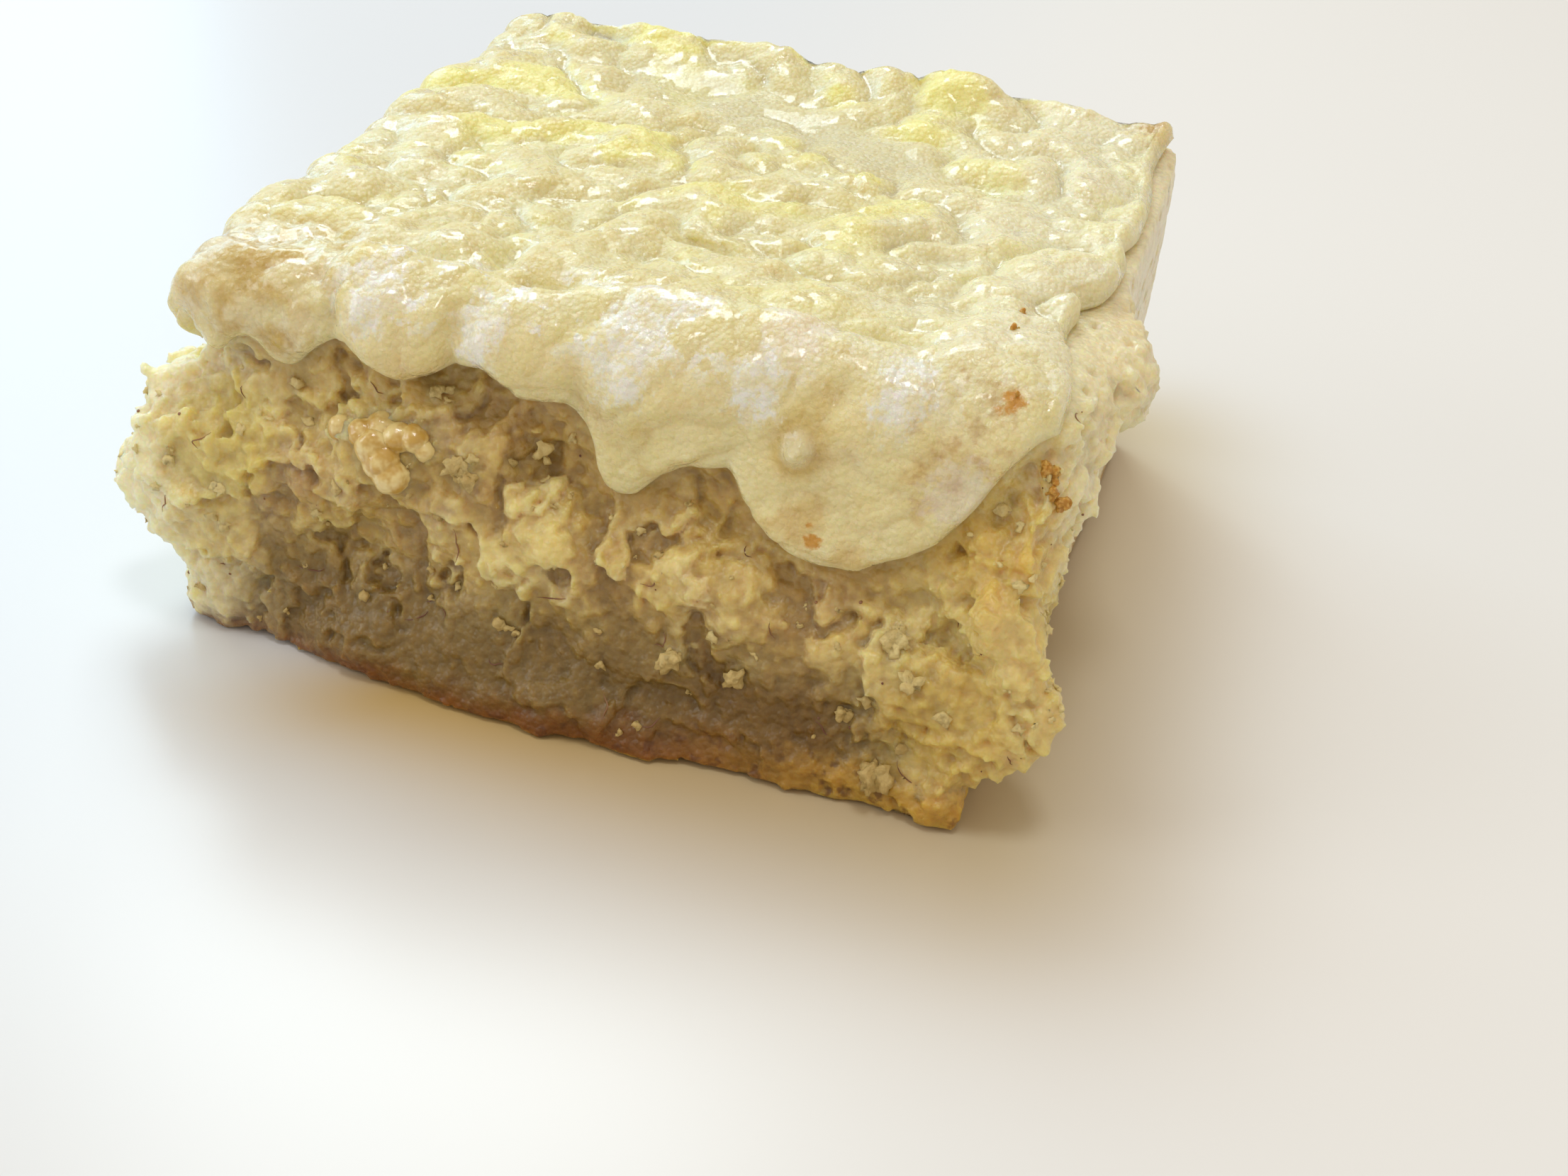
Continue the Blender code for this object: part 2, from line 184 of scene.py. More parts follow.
# Painted glow where the moist crumb is thin enough for light to come through, and the pale clean
# cut at the right: a place, a size and a colour
GLOW_AND_CUT_SPOTS = (
    ((-25.4, -29.3, 15.5), 6.0, (0.72, 0.58, 0.14, 1)),
    ((-25.5, -29.5, 9.0), 4.0, (0.74, 0.58, 0.20, 1)),
    ((27.5, -26.0, 20.5), 7.0, (0.70, 0.47, 0.09, 1)),
    ((27.0, -30.0, 7.5), 5.5, (0.66, 0.46, 0.10, 1)),
    ((-12.0, -28.5, 15.5), 4.0, (0.50, 0.33, 0.10, 1)),
    ((32.0, -14.0, 22.0), 13.0, (0.97, 0.93, 0.66, 1)),
)

# How finely the icing is divided
ICING_COLUMNS = (30, 300)  # over the left shoulder, and across
ICING_ROWS = (74, 74, 96)  # over the front shoulder, near it, and behind
NEAR_ROWS_START = -8.0

# How finely the crumb's volume is divided across and upwards, and from the front to the back
VOXEL, DEEP_VOXEL, QUICK_VOXEL = 0.2, 0.36, 0.5
VOLUME_MARGINS = (2.0, 2.0, 0.8)
FINE_DEPTH_END = -15.0  # the y past which the crumb may be coarser
PIECE_TRIANGLES = 196000
LOOSE_ISLAND = 20000.0  # the crumb has more vertices than this, and each loose island has fewer
SHINGLE_PITCH = 11.0  # from one torn layer to the next


# --- Shapes that follow a rule -------------------------------------------------------------


def smooth(value):
    """0 below 0, 1 above 1, and an even S between them."""
    value = np.clip(value, 0.0, 1.0)
    return value * value * (3.0 - 2.0 * value)


def hills(places, x, y, flatness=1.0):
    """The height at x, y of all the hills and pits in a list. A flatness over 1 makes flat tops."""
    return sum(
        h.rise * np.exp(-((((x - h.x) / h.wide) ** 2 + ((y - h.y) / h.deep) ** 2) ** flatness))
        for h in places
    )


def settle(x, y, z):
    """The place in the cake of a point of the straight block, in metres."""
    z = z * (1.0 + hills(TOP_SWELLS, x, y) / HEIGHT)
    across, along, up = x / WIDTH + 0.5, y / DEPTH + 0.5, z / HEIGHT
    place = np.empty(np.shape(x) + (3,))
    for axis in (0, 1):
        base, top = (
            (1 - along) * ((1 - across) * cut.front_left[axis] + across * cut.front_right[axis])
            + along * ((1 - across) * cut.back_left[axis] + across * cut.back_right[axis])
            for cut in (BASE_CORNERS, TOP_CORNERS)
        )
        place[..., axis] = base + (top - base) * up + CENTRING[axis]
    place[..., 2] = z
    return place * MM


def soft_line(points, softness):
    """A line through points, with its corners softened, as a function."""
    along, height = np.array(points).T
    step = softness / 4
    fine = np.arange(along[0], along[-1], step)
    kernel = np.exp(-((np.arange(-12, 13) / 4.0) ** 2))
    heights = np.interp(fine, along, height)
    padded = np.pad(heights, 12, mode="edge")
    softened = np.convolve(padded, kernel / kernel.sum(), mode="valid")
    return lambda place: np.interp(place, fine, softened)


front_hang = soft_line(FRONT_HANG, HANG_SOFTNESS)
left_hang = soft_line(LEFT_HANG, HANG_SOFTNESS)


def right_edge(y):
    torn = sum(t.depth * np.exp(-(((y - t.middle) / t.reach) ** 2)) for t in RIGHT_TEARS)
    return WIDTH / 2 - RIGHT_MARGIN - torn


def bend_length(drop, radius):
    """How far a sheet runs over a shoulder of this radius to come down by this drop."""
    on_bend = radius * np.arccos(1.0 - np.clip(drop / radius, 0.0, 1.0))
    return np.where(drop < radius, on_bend, drop + radius * (math.pi / 2 - 1.0))


def icing_sheet():
    """The icing's outer and inner surfaces, as grids of places, with their flat coordinates."""
    over_left, across = ICING_COLUMNS
    over_front, near, behind = ICING_ROWS
    left_start = -WIDTH / 2 + ICING_THICKNESS + LEFT_SHOULDER_RADIUS
    front_start = -DEPTH / 2 + ICING_THICKNESS + SHOULDER_RADIUS
    back_end = DEPTH / 2 - BACK_MARGIN

    # Rows lie closer together towards the free edges.
    past_front_share = np.linspace(1.0, 0.0, over_front, endpoint=False) ** 0.8
    near_places = np.linspace(front_start, NEAR_ROWS_START, near, endpoint=False)
    far_places = NEAR_ROWS_START + (back_end - NEAR_ROWS_START) * np.linspace(0.0, 1.0, behind)
    y = np.concatenate([np.full(over_front, front_start), near_places, far_places])[:, None]
    front_share = np.concatenate([past_front_share, np.zeros(near + behind)])[:, None]
    past_left_share = np.linspace(1.0, 0.0, over_left, endpoint=False) ** 0.8
    left_share = np.concatenate([past_left_share, np.zeros(across)])[None, :]
    across_share = np.concatenate([np.zeros(over_left), np.linspace(0.0, 1.0, across)])[None, :]

    x = left_start + across_share * (right_edge(y) - left_start)
    full_x = x - left_share * (WIDTH / 2 + left_start)
    left_length = bend_length(left_hang(y), LEFT_SHOULDER_RADIUS)
    front_length = bend_length(front_hang(full_x), SHOULDER_RADIUS)
    past_left = left_share * left_length
    past_front = front_share * front_length

    past = (past_left**CORNER_POWER + past_front**CORNER_POWER) ** (1.0 / CORNER_POWER)
    length = np.maximum(np.hypot(past_left, past_front), 1e-9)
    way_x, way_y = -past_left / length, -past_front / length
    radius = LEFT_SHOULDER_RADIUS + (SHOULDER_RADIUS - LEFT_SHOULDER_RADIUS) * way_y**2
    turn = np.minimum(past / radius, math.pi / 2)
    out = radius * np.sin(turn)
    down = radius * (1.0 - np.cos(turn)) + np.maximum(past - radius * math.pi / 2, 0.0)
    inside = (x + way_x * out, y + way_y * out, HEIGHT - ICING_THICKNESS - down)
    normal = (way_x * np.sin(turn), way_y * np.sin(turn), np.cos(turn))

    # Each free edge is rounded over its own reach.
    edges = (
        (front_length - past_front) / FRONT_LIP,
        (left_length - past_left) / LEFT_LIP,
        (right_edge(y) - x) / RIGHT_LIP,
        np.broadcast_to(back_end - y, x.shape) / BACK_LIP,
    )
    lip = 1.0
    for edge in edges:
        share = 1.0 - np.clip(edge, 0.0, 1.0)
        lip = lip * np.sqrt(1.0 - share**2)
    flat_x, flat_y = full_x, y - past_front
    raised = hills(ICING_PILLOWS, flat_x, flat_y, 2.2) + hills(ICING_PITS, flat_x, flat_y)
    thin_corner = smooth((THIN_CORNER[0] - flat_x) / 4.0) * smooth((THIN_CORNER[1] - flat_y) / 4.0)
    thinner = (1.0 - 0.35 * smooth(past_front / 9.0)) * (1.0 - 0.5 * thin_corner)
    thickness = (ICING_THICKNESS - 0.3 + raised) * lip * thinner
    outer = settle(*(i + n * thickness for i, n in zip(inside, normal)))
    inner = settle(*(i - n * SUNK * lip for i, n in zip(inside, normal)))
    flat_x, flat_y = (np.broadcast_to(flat, lip.shape) for flat in (flat_x, flat_y))
    return outer, inner, flat_x, flat_y, lip


def grid_faces(numbers, flip):
    """The four-sided faces of a grid of vertex numbers."""
    corners = [numbers[:-1, :-1], numbers[:-1, 1:], numbers[1:, 1:], numbers[1:, :-1]]
    faces = np.stack([c.ravel() for c in corners], axis=1)
    return faces[:, ::-1] if flip else faces


def store_values(mesh, name, values):
    mesh.attributes.new(name, "FLOAT", "POINT").data.foreach_set("value", values)


def mesh_of(name, places, faces):
    mesh = bpy.data.meshes.new(name)
    mesh.from_pydata(places.tolist(), [], faces.tolist())
    mesh.validate()
    mesh.shade_smooth()
    return mesh


def icing_mesh():
    """The icing as one closed sheet, whose two sides share the free edge."""
    outer, inner, flat_x, flat_y, lip = icing_sheet()
    rows, columns = lip.shape
    outer_numbers = np.arange(rows * columns).reshape(rows, columns)
    inner_numbers = outer_numbers.copy()
    inside = (slice(1, -1), slice(1, -1))
    own_numbers = np.arange((rows - 2) * (columns - 2)).reshape(rows - 2, -1)
    inner_numbers[inside] = rows * columns + own_numbers
    places = np.concatenate([outer.reshape(-1, 3), inner[inside].reshape(-1, 3)])
    faces = np.concatenate([grid_faces(outer_numbers, False), grid_faces(inner_numbers, True)])
    mesh = mesh_of("icing sheet", places, faces)
    hollow = smooth(-hills([h for h in TOP_SWELLS if h.rise < 0.0], flat_x, flat_y))
    values = {"flat_x": flat_x, "flat_y": flat_y, "hollow": hollow}
    values = {
        name: np.concatenate([value.ravel(), value[inside].ravel()])
        for name, value in values.items()
    }
    values["outside"] = np.concatenate([lip.ravel(), np.zeros(lip[inside].size)])
    for name, value in values.items():
        store_values(mesh, name, value.astype(np.float32))
    return mesh


# --- Laying out nodes ----------------------------------------------------------------------


class Value:
    """A node's output. A sum or a product with it lays out the node that works it out."""

    def __init__(self, tree, socket):
        self.tree, self.socket = tree, socket

    def other(self, out):
        """Another output of the same node."""
        return Value(self.tree, self.socket.node.outputs[out])

    def __abs__(self):
        return calc("ABSOLUTE", self)


OPERATORS = {"add": "ADD", "sub": "SUBTRACT", "mul": "MULTIPLY"}
OPERATORS.update({"truediv": "DIVIDE", "pow": "POWER"})
for sign, operation in OPERATORS.items():
    setattr(Value, f"__{sign}__", lambda a, b, kind=operation: calc(kind, a, b))
    setattr(Value, f"__r{sign}__", lambda a, b, kind=operation: calc(kind, b, a))


def feed(value, entry):
    value.tree.links.new(value.socket, entry)


def put(tree, kind, inputs=None, out=0, **settings):
    """Adds a node with its settings and inputs, and gives back one of its outputs."""
    node = tree.nodes.new(kind)
    for name, value in settings.items():
        setattr(node, name, value)
    for key, value in (inputs or {}).items():
        if isinstance(value, Value):
            feed(value, node.inputs[key])
        else:
            node.inputs[key].default_value = value
    return Value(tree, node.outputs[out])


def put_sum(kind, values, out, **settings):
    tree = next(value.tree for value in values if isinstance(value, Value))
    return put(tree, kind, dict(enumerate(values)), out, **settings)


def calc(operation, *values, clamp=False):
    return put_sum("ShaderNodeMath", values, 0, operation=operation, use_clamp=clamp)


def vector(operation, *values, out="Vector"):
    return put_sum("ShaderNodeVectorMath", values, out, operation=operation)


def scaled(place, scale):
    inputs = {0: place, "Scale": scale}
    return put(place.tree, "ShaderNodeVectorMath", inputs, operation="SCALE")


def highest(*values):
    return reduce(lambda a, b: calc("MAXIMUM", a, b), values)


def ramp(value, low, high, to_low=0.0, to_high=1.0):
    """Maps a value from one range to another, evenly at both ends."""
    inputs = {"From Min": low, "From Max": high, "To Min": to_low, "To Max": to_high}
    kind = "ShaderNodeMapRange"
    return put(value.tree, kind, {"Value": value, **inputs}, interpolation_type="SMOOTHSTEP")


def noise(place, size, detail=2.0, roughness=0.5, distortion=0.0, out=0):
    """Noise whose lumps are about this many of the place's units across."""
    inputs = {"Vector": place, "Scale": 1.0 / size, "Detail": detail, "Roughness": roughness}
    return put(place.tree, "ShaderNodeTexNoise", {**inputs, "Distortion": distortion}, out)


def wobble(place, size, *settings, **named_settings):
    """The same noise about 0."""
    return noise(place, size, *settings, **named_settings) - 0.5


def granules(place, size, smoothness=0.3, level=0.5):
    """Soft grains of about this size, which stand out above a level."""
    inputs = {"Vector": place, "Scale": 1.0 / size, "Smoothness": smoothness}
    return level - put(place.tree, "ShaderNodeTexVoronoi", inputs, "Distance", feature="SMOOTH_F1")


def xyz(place):
    parts = put(place.tree, "ShaderNodeSeparateXYZ", {0: place})
    return [parts.other(axis) for axis in range(3)]


def inputs_of(tree):
    """What a group is given, by name."""
    sockets = tree.nodes.new("NodeGroupInput").outputs
    return {socket.name: Value(tree, socket) for socket in sockets}


def geometry_tree(name, inputs):
    """A Geometry Nodes tree with a geometry in and out, and its other inputs by name."""
    tree = bpy.data.node_groups.new(name, "GeometryNodeTree")
    kinds = {bpy.types.Object: "NodeSocketObject", bpy.types.Material: "NodeSocketMaterial"}
    tree.interface.new_socket("Geometry", in_out="INPUT", socket_type="NodeSocketGeometry")
    for label, value in inputs.items():
        kind = kinds.get(type(value), "NodeSocketFloat")
        made = tree.interface.new_socket(label, in_out="INPUT", socket_type=kind)
        if isinstance(value, float):
            made.default_value = value
    tree.interface.new_socket("Geometry", in_out="OUTPUT", socket_type="NodeSocketGeometry")
    return tree, inputs_of(tree), tree.nodes.new("NodeGroupOutput").inputs["Geometry"]


def finished(geometry, material, result):
    """Ends a tree by realizing its instances and setting its material."""
    tree = geometry.tree
    real = put(tree, "GeometryNodeRealizeInstances", {"Geometry": geometry})
    feed(put(tree, "GeometryNodeSetMaterial", {"Geometry": real, "Material": material}), result)
    return tree


def new_object(name, data):
    made = bpy.data.objects.new(name, data)
    bpy.context.scene.collection.objects.link(made)
    return made


def result_mesh(piece):
    """The plain mesh that a piece's modifiers make."""
    evaluated = piece.evaluated_get(bpy.context.evaluated_depsgraph_get())
    return bpy.data.meshes.new_from_object(evaluated)


def worked(name, mesh, tree, values):
    """The plain mesh object that a Geometry Nodes tree makes of a mesh."""
    source = new_object(name + " source", mesh)
    modifier = source.modifiers.new("work", "NODES")
    modifier.node_group = tree
    for item in tree.interface.items_tree:
        if item.in_out == "INPUT" and item.name in values:
            modifier[item.identifier] = values[item.name]
    made = new_object(name, result_mesh(source))
    bpy.data.objects.remove(source)
    if len(made.data.materials) > 1 and made.data.materials[0] is None:
        made.data.materials.pop(index=0)
    return made


def here(tree):
    return put(tree, "GeometryNodeInputPosition")


def in_millimetres(tree):
    return scaled(here(tree), 1000.0)


def normal_at(tree):
    return put(tree, "GeometryNodeInputNormal")


def named(tree, name):
    inputs = {"Name": name}
    return put(tree, "GeometryNodeInputNamedAttribute", inputs, data_type="FLOAT")


def stored(geometry, name, value):
    """The geometry, with a value stored at each of its points."""
    inputs = {"Geometry": geometry, "Name": name, "Value": value}
    kind = "GeometryNodeStoreNamedAttribute"
    return put(geometry.tree, kind, inputs, data_type="FLOAT", domain="POINT")


def shape_of(piece):
    return put(piece.tree, "GeometryNodeObjectInfo", {"Object": piece}, "Geometry")


def nearest_place(body):
    """The nearest place on a body's faces."""
    inputs = {"Geometry": body}
    return put(body.tree, "GeometryNodeProximity", inputs, "Position", target_element="FACES")


def moved(geometry, **inputs):
    """The geometry, moved by an Offset or to a Position."""
    return put(geometry.tree, "GeometryNodeSetPosition", {"Geometry": geometry, **inputs})


def pushed_out(geometry, far):
    """The geometry, moved along its own normals by this many metres."""
    return moved(geometry, Offset=scaled(normal_at(geometry.tree), far))


def smooth_shaded(geometry):
    inputs = {"Geometry": geometry, "Shade Smooth": True}
    return put(geometry.tree, "GeometryNodeSetShadeSmooth", inputs)


# --- Sponge --------------------------------------------------------------------------------


def merged_copy(node):
    """A CAD node's mesh as one connected body."""
    bm = bmesh.new()
    bm.from_mesh(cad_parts[node].data)
    bmesh.ops.remove_doubles(bm, verts=bm.verts, dist=1e-6)
    mesh = bpy.data.meshes.new(node + " merged")
    bm.to_mesh(mesh)
    bm.free()
    mesh.shade_smooth()
    return mesh


def depth_in(body):
    """How deep a place lies in a closed body, in millimetres, the way out and the nearest skin."""
    tree = body.tree
    nearest = nearest_place(body)
    inputs = {"Mesh": body, "Value": normal_at(tree)}
    way_out = put(tree, "GeometryNodeSampleNearestSurface", inputs, data_type="FLOAT_VECTOR")
    to_place = vector("SUBTRACT", here(tree), nearest)
    outwards = calc("SIGN", vector("DOT_PRODUCT", to_place, way_out, out="Value"))
    return nearest.other("Distance") * outwards * -1000.0, way_out, scaled(nearest, 1000.0)


def distance_to(body):
    """How far a place lies from a body, in millimetres."""
    return nearest_place(body).other("Distance") * 1000.0


def torn_share(place, way_out):
    """1 where the crumb is torn, at the front, the left and the right's front part."""
    out_x, out_y, _ = xyz(way_out)
    _, place_y, _ = xyz(place)
    front = ramp(out_y, -0.35, -0.75)
    left = ramp(out_x, -0.35, -0.75)
    right = ramp(out_x, 0.35, 0.75) * ramp(place_y, 5.0, -4.0)
    return highest(front, left, right)


def ragged(place, size):
    """Broad noise, with a fine unevenness that frays the edges of what is cut from it."""
    return calc("MULTIPLY_ADD", wobble(place, 1.1, 1.5, 0.6), 0.1, noise(place, size))


def flakes(place, size, height, level):
    """Flat flakes with ragged edges, from minus to plus half their height."""
    return ramp(ragged(place, size), level - 0.03, level + 0.03, -height / 2, height / 2)


def shingle_step(place):
    """0 at the lower edge of each layer torn off over the next, rising to 1 at its upper one."""
    _, _, up = xyz(place)
    return calc("FRACT", calc("MULTIPLY_ADD", up, 1.0 / SHINGLE_PITCH, ragged(place, 9.0) * 4.5))


def torn_layers(skin):
    """How far the torn layers stand out over the plain skin, in millimetres."""
    # Layers torn off one under the other stand out most at their lower, ragged edge.
    step = shingle_step(skin)
    profile = calc("MINIMUM", 0.5 - step, calc("MULTIPLY_ADD", step, 9.0, -0.5))
    return profile * 0.75 + flakes(skin, 7.0, 0.5, 0.5) + flakes(skin, 3.0, 0.26, 0.54)


def crumb_tree(icing):
    """Turns the plain sponge into torn crumb: flakes, granules and pores cut in a volume."""
    inputs = {"Icing": icing, "Voxel": VOXEL, "Deep Voxel": DEEP_VOXEL}
    inputs.update({"Flake Height": 1.0, "Granule Height": 0.6})
    tree, given, result = geometry_tree("torn crumb", inputs)
    place = in_millimetres(tree)
    depth, way_out, skin = depth_in(given["Geometry"])
    torn = torn_share(place, way_out)
    bare = ramp(distance_to(shape_of(given["Icing"])), 0.3, 1.6)
    across, _, up = xyz(place)
    at_corners = ramp(abs(across), 19.0, 29.0, 1.0, 1.25)
    broad = torn_layers(skin) * at_corners
    granule = granules(place, 0.75, smoothness=0.4) * given["Granule Height"]
    fine = wobble(skin, 1.4, 3.0, 0.6) * 0.12
    relief = broad * given["Flake Height"] * torn + granule * ramp(torn, 0.0, 1.0, 0.3, 1.0) + fine
    # The knife leaves the crumb's open pores on the clean cuts.
    hole = put(tree, "ShaderNodeTexVoronoi", {"Vector": place, "Scale": 0.5}, "Distance")
    pore_edge = calc("MULTIPLY_ADD", noise(place, 2.5), 0.45, hole)
    pores = ramp(pore_edge, 0.52, 0.36, 0.0, 0.5) * (1.0 - torn)
    above_crust = ramp(up, 0.3, 3.0, 0.55, 1.0)
    pressed = ramp(up, 9.0, 5.0) * ramp(abs(across), 24.0, 14.0, 0.0, 0.35)
    relief = (relief - pores) * bare * (above_crust * (1.0 - pressed))

    solid = calc("MINIMUM", depth + relief, up)
    density = calc("ADD", solid * 0.5, 0.5, clamp=True)
    low, high = (np.array(corner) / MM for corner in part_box("sponge"))
    low, high = low - VOLUME_MARGINS, high + VOLUME_MARGINS
    corners = {"Min": tuple(low * MM), "Max": tuple(high * MM)}
    volume = put(tree, "GeometryNodeVolumeCube", {"Density": density, **corners})
    for span, label, size in zip(high - low, "XYZ", ("Voxel", "Deep Voxel", "Voxel")):
        feed(float(span) / given[size], volume.socket.node.inputs["Resolution " + label])
    inputs = {"Volume": volume, "Threshold": 0.5, "Adaptivity": 0.0}
    surface = put(tree, "GeometryNodeVolumeToMesh", inputs)

    # Only the cake itself stays, without the loose islands that the pores leave.
    island = put(tree, "GeometryNodeInputMeshIsland", out="Island Index")
    inputs = {"Value": 1.0, "Group ID": island}
    size = put(tree, "GeometryNodeAccumulateField", inputs, "Total", domain="POINT")
    small = put(tree, "FunctionNodeCompare", {"A": size, "B": LOOSE_ISLAND}, operation="LESS_THAN")
    kept = put(tree, "GeometryNodeDeleteGeometry", {"Geometry": surface, "Selection": small})
    feed(kept, result)
    return tree


def marks_tree(marks):
    """Marks how far the finished crumb stands out of the plain sponge, for colours, painted light
    and shade.
    """
    tree, given, result = geometry_tree("crumb marks", marks)
    depth, way_out, skin = depth_in(shape_of(given["Plain"]))
    torn = torn_share(skin, way_out)
    values = {
        "lift": depth * -1.0,
        "layers": torn_layers(skin) * (torn * 1.4),
        "lower_edge": ramp(shingle_step(skin), 0.3, 0.0) * torn,
        "from_icing": distance_to(shape_of(given["Icing"])),
    }
    marked = given["Geometry"]
    for name, value in values.items():
        marked = stored(marked, name, value)
    return finished(smooth_shaded(marked), given["Material"], result)


def vertex_places(mesh):
    places = np.empty(len(mesh.vertices) * 3, np.float32)
    mesh.vertices.foreach_get("co", places)
    return places.reshape(-1, 3) / MM


def thinned(made, hidden, coarse, most):
    """The same piece down to this many triangles: joined first where hidden, then where coarse."""
    count = len(made.data.polygons) * 2
    if count <= most:
        return
    group = made.vertex_groups.new(name="hidden")
    group.add(np.flatnonzero(coarse).tolist(), 0.5, "REPLACE")
    group.add(np.flatnonzero(hidden).tolist(), 1.0, "REPLACE")
    thin = made.modifiers.new("thin", "DECIMATE")
    thin.vertex_group = group.name
    thin.vertex_group_factor = 20.0
    thin.ratio = most / count
    mesh = result_mesh(made)
    made.modifiers.remove(thin)
    made.vertex_groups.clear()
    made.data = mesh


def point_values(mesh, name):
    values = np.empty(len(mesh.vertices), np.float32)
    mesh.attributes[name].data.foreach_get("value", values)
    return values


def crumb_piece(icing, material):
    """The whole crumb, finest at the front."""
    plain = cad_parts["sponge"]
    values = {"Icing": icing}
    crumb = worked("crumb", merged_copy("sponge"), crumb_tree(icing), values)
    marks = {"Plain": plain, "Icing": icing, "Material": material}
    marked = worked("torn_crumb", crumb.data, marks_tree(marks), marks)
    bpy.data.objects.remove(crumb)
    _, y, z = vertex_places(marked.data).T
    hidden = (point_values(marked.data, "from_icing") < 0.4) | (z < 0.25)
    thinned(marked, hidden, y > FINE_DEPTH_END, PIECE_TRIANGLES)
    return marked


# --- Icing ---------------------------------------------------------------------------------


def pillow_tree(material):
    """Raises the icing's pillows, with creases between them, along its own surface."""
    inputs = {"Pillow Size": 9.0, "Pillow Height": 1.3, "Lump Size": 3.6, "Lump Height": 0.32}
    inputs.update({"Grain Height": 0.09, "Crumple Height": 1.1, "Material": material})
    tree, given, result = geometry_tree("icing pillows", inputs)
    flat_x, flat_y = named(tree, "flat_x"), named(tree, "flat_y")
    flat = put(tree, "ShaderNodeCombineXYZ", {"X": flat_x, "Y": flat_y})
    wander = noise(flat, 4.0, 1.0, out="Color")
    wandered = vector("MULTIPLY_ADD", wander, (1.6, 1.6, 0.0), flat)

    def valley_distance(size):
        """0 along the winding valleys between soft pillows, rising to about 1 on their tops."""
        off_middle = abs(wobble(scaled(wandered, 1.0 / size), 1.0, 1.0))
        return calc("MULTIPLY", off_middle, 5.5, clamp=True)

    behind = ramp(flat_y, -20.0, -15.0)
    pillow = valley_distance(given["Pillow Size"])
    lump = valley_distance(given["Lump Size"])
    in_places = ramp(noise(flat, 9.0, 1.0), 0.42, 0.6)
    creased = ramp(pillow, 0.3, 0.05) * behind * in_places
    thin_corner = ramp(flat_x, -16.0, -20.0) * ramp(flat_y, -17.0, -22.0)
    crumpled = wobble(flat, 2.4, 2.0, 0.5, distortion=0.4)
    height = (
        (pillow**0.75 - 0.7) * behind * given["Pillow Height"]
        + (lump**0.7 - 0.6) * given["Lump Height"]
        + wobble(flat, 1.5, 2.0) * 0.22
        + granules(wandered, 0.8) * given["Grain Height"]
        + crumpled * thin_corner * given["Crumple Height"]
    )
    height = height * ramp(named(tree, "hollow"), 0.0, 0.9, 1.0, 0.3)
    raised = pushed_out(given["Geometry"], height * named(tree, "outside") * MM)
    return finished(stored(raised, "crease", creased), given["Material"], result)


def icing_piece(material):
    made = worked("poured_icing", icing_mesh(), pillow_tree(material), {"Material": material})
    thinned(made, point_values(made.data, "outside") < 0.02, [], PIECE_TRIANGLES)
    return made


# --- Loose crumbs, threads and other small things ------------------------------------------


def random_number(tree, low, high, seed):
    return put(tree, "FunctionNodeRandomValue", {2: low, 3: high, 8: seed}, 1, data_type="FLOAT")


def scattered_points(surface, density, where, seed):
    """Points on a surface, so many to a square centimetre of where it is 1, and their turns."""
    inputs = {"Mesh": surface, "Density": where * (density * 1e4), "Seed": seed}
    points = put(surface.tree, "GeometryNodeDistributePointsOnFaces", inputs, "Points")
    return points, points.other("Rotation")


def random_vector(tree, low, high, seed):
    kind = "FunctionNodeRandomValue"
    return put(tree, kind, {0: low, 1: high, 8: seed}, 0, data_type="FLOAT_VECTOR")


def instances_on(points, instance, turn, size):
    inputs = {"Points": points, "Instance": instance, "Rotation": turn, "Scale": size}
    return put(points.tree, "GeometryNodeInstanceOnPoints", inputs)


def lumps_at(points, turn, radius, unevenness, detail=3, knob=0.6):
    """Uneven lumps at points, each with a shape of its own."""
    tree = points.tree
    ball = put(tree, "GeometryNodeMeshIcoSphere", {"Radius": MM, "Subdivisions": detail})
    squash = random_vector(tree, (0.8, 0.8, 0.5), (1.3, 1.1, 0.8), 5)
    lumps = instances_on(points, ball, turn, scaled(squash, radius))
    real = put(tree, "GeometryNodeRealizeInstances", {"Geometry": lumps})
    place = in_millimetres(tree)
    bulge = wobble(place, knob, 3.0, 0.6) + granules(place, knob) * 0.5
    return smooth_shaded(pushed_out(real, bulge * (unevenness * MM)))


def open_front(tree):
    """1 on the torn crumb of the front and its corners, clear of the icing and the crust."""
    normal_x, normal_y, _ = xyz(normal_at(tree))
    _, along, up = xyz(in_millimetres(tree))
    facing = highest(ramp(normal_y, -0.2, -0.6), ramp(abs(normal_x), 0.5, 0.8))
    bare = ramp(named(tree, "from_icing"), 0.6, 1.5)
    height = ramp(up, 1.0, 2.5) * ramp(along, -18.0, -21.0)
    return facing * bare * height


def loose_crumbs_tree(material):
    inputs = {"Density": 8.0, "Smallest": 0.16, "Largest": 0.55, "Unevenness": 1.1}
    inputs["Material"] = material
    tree, given, result = geometry_tree("loose crumbs", inputs)
    points, turn = scattered_points(given["Geometry"], given["Density"], open_front(tree), 3)
    share = random_number(tree, 0.0, 1.0, 1) ** 2.5
    radius = calc("MULTIPLY_ADD", share, given["Largest"] - given["Smallest"], given["Smallest"])
    lumps = lumps_at(points, turn, radius, given["Unevenness"], detail=2, knob=0.3)
    return finished(lumps, given["Material"], result)


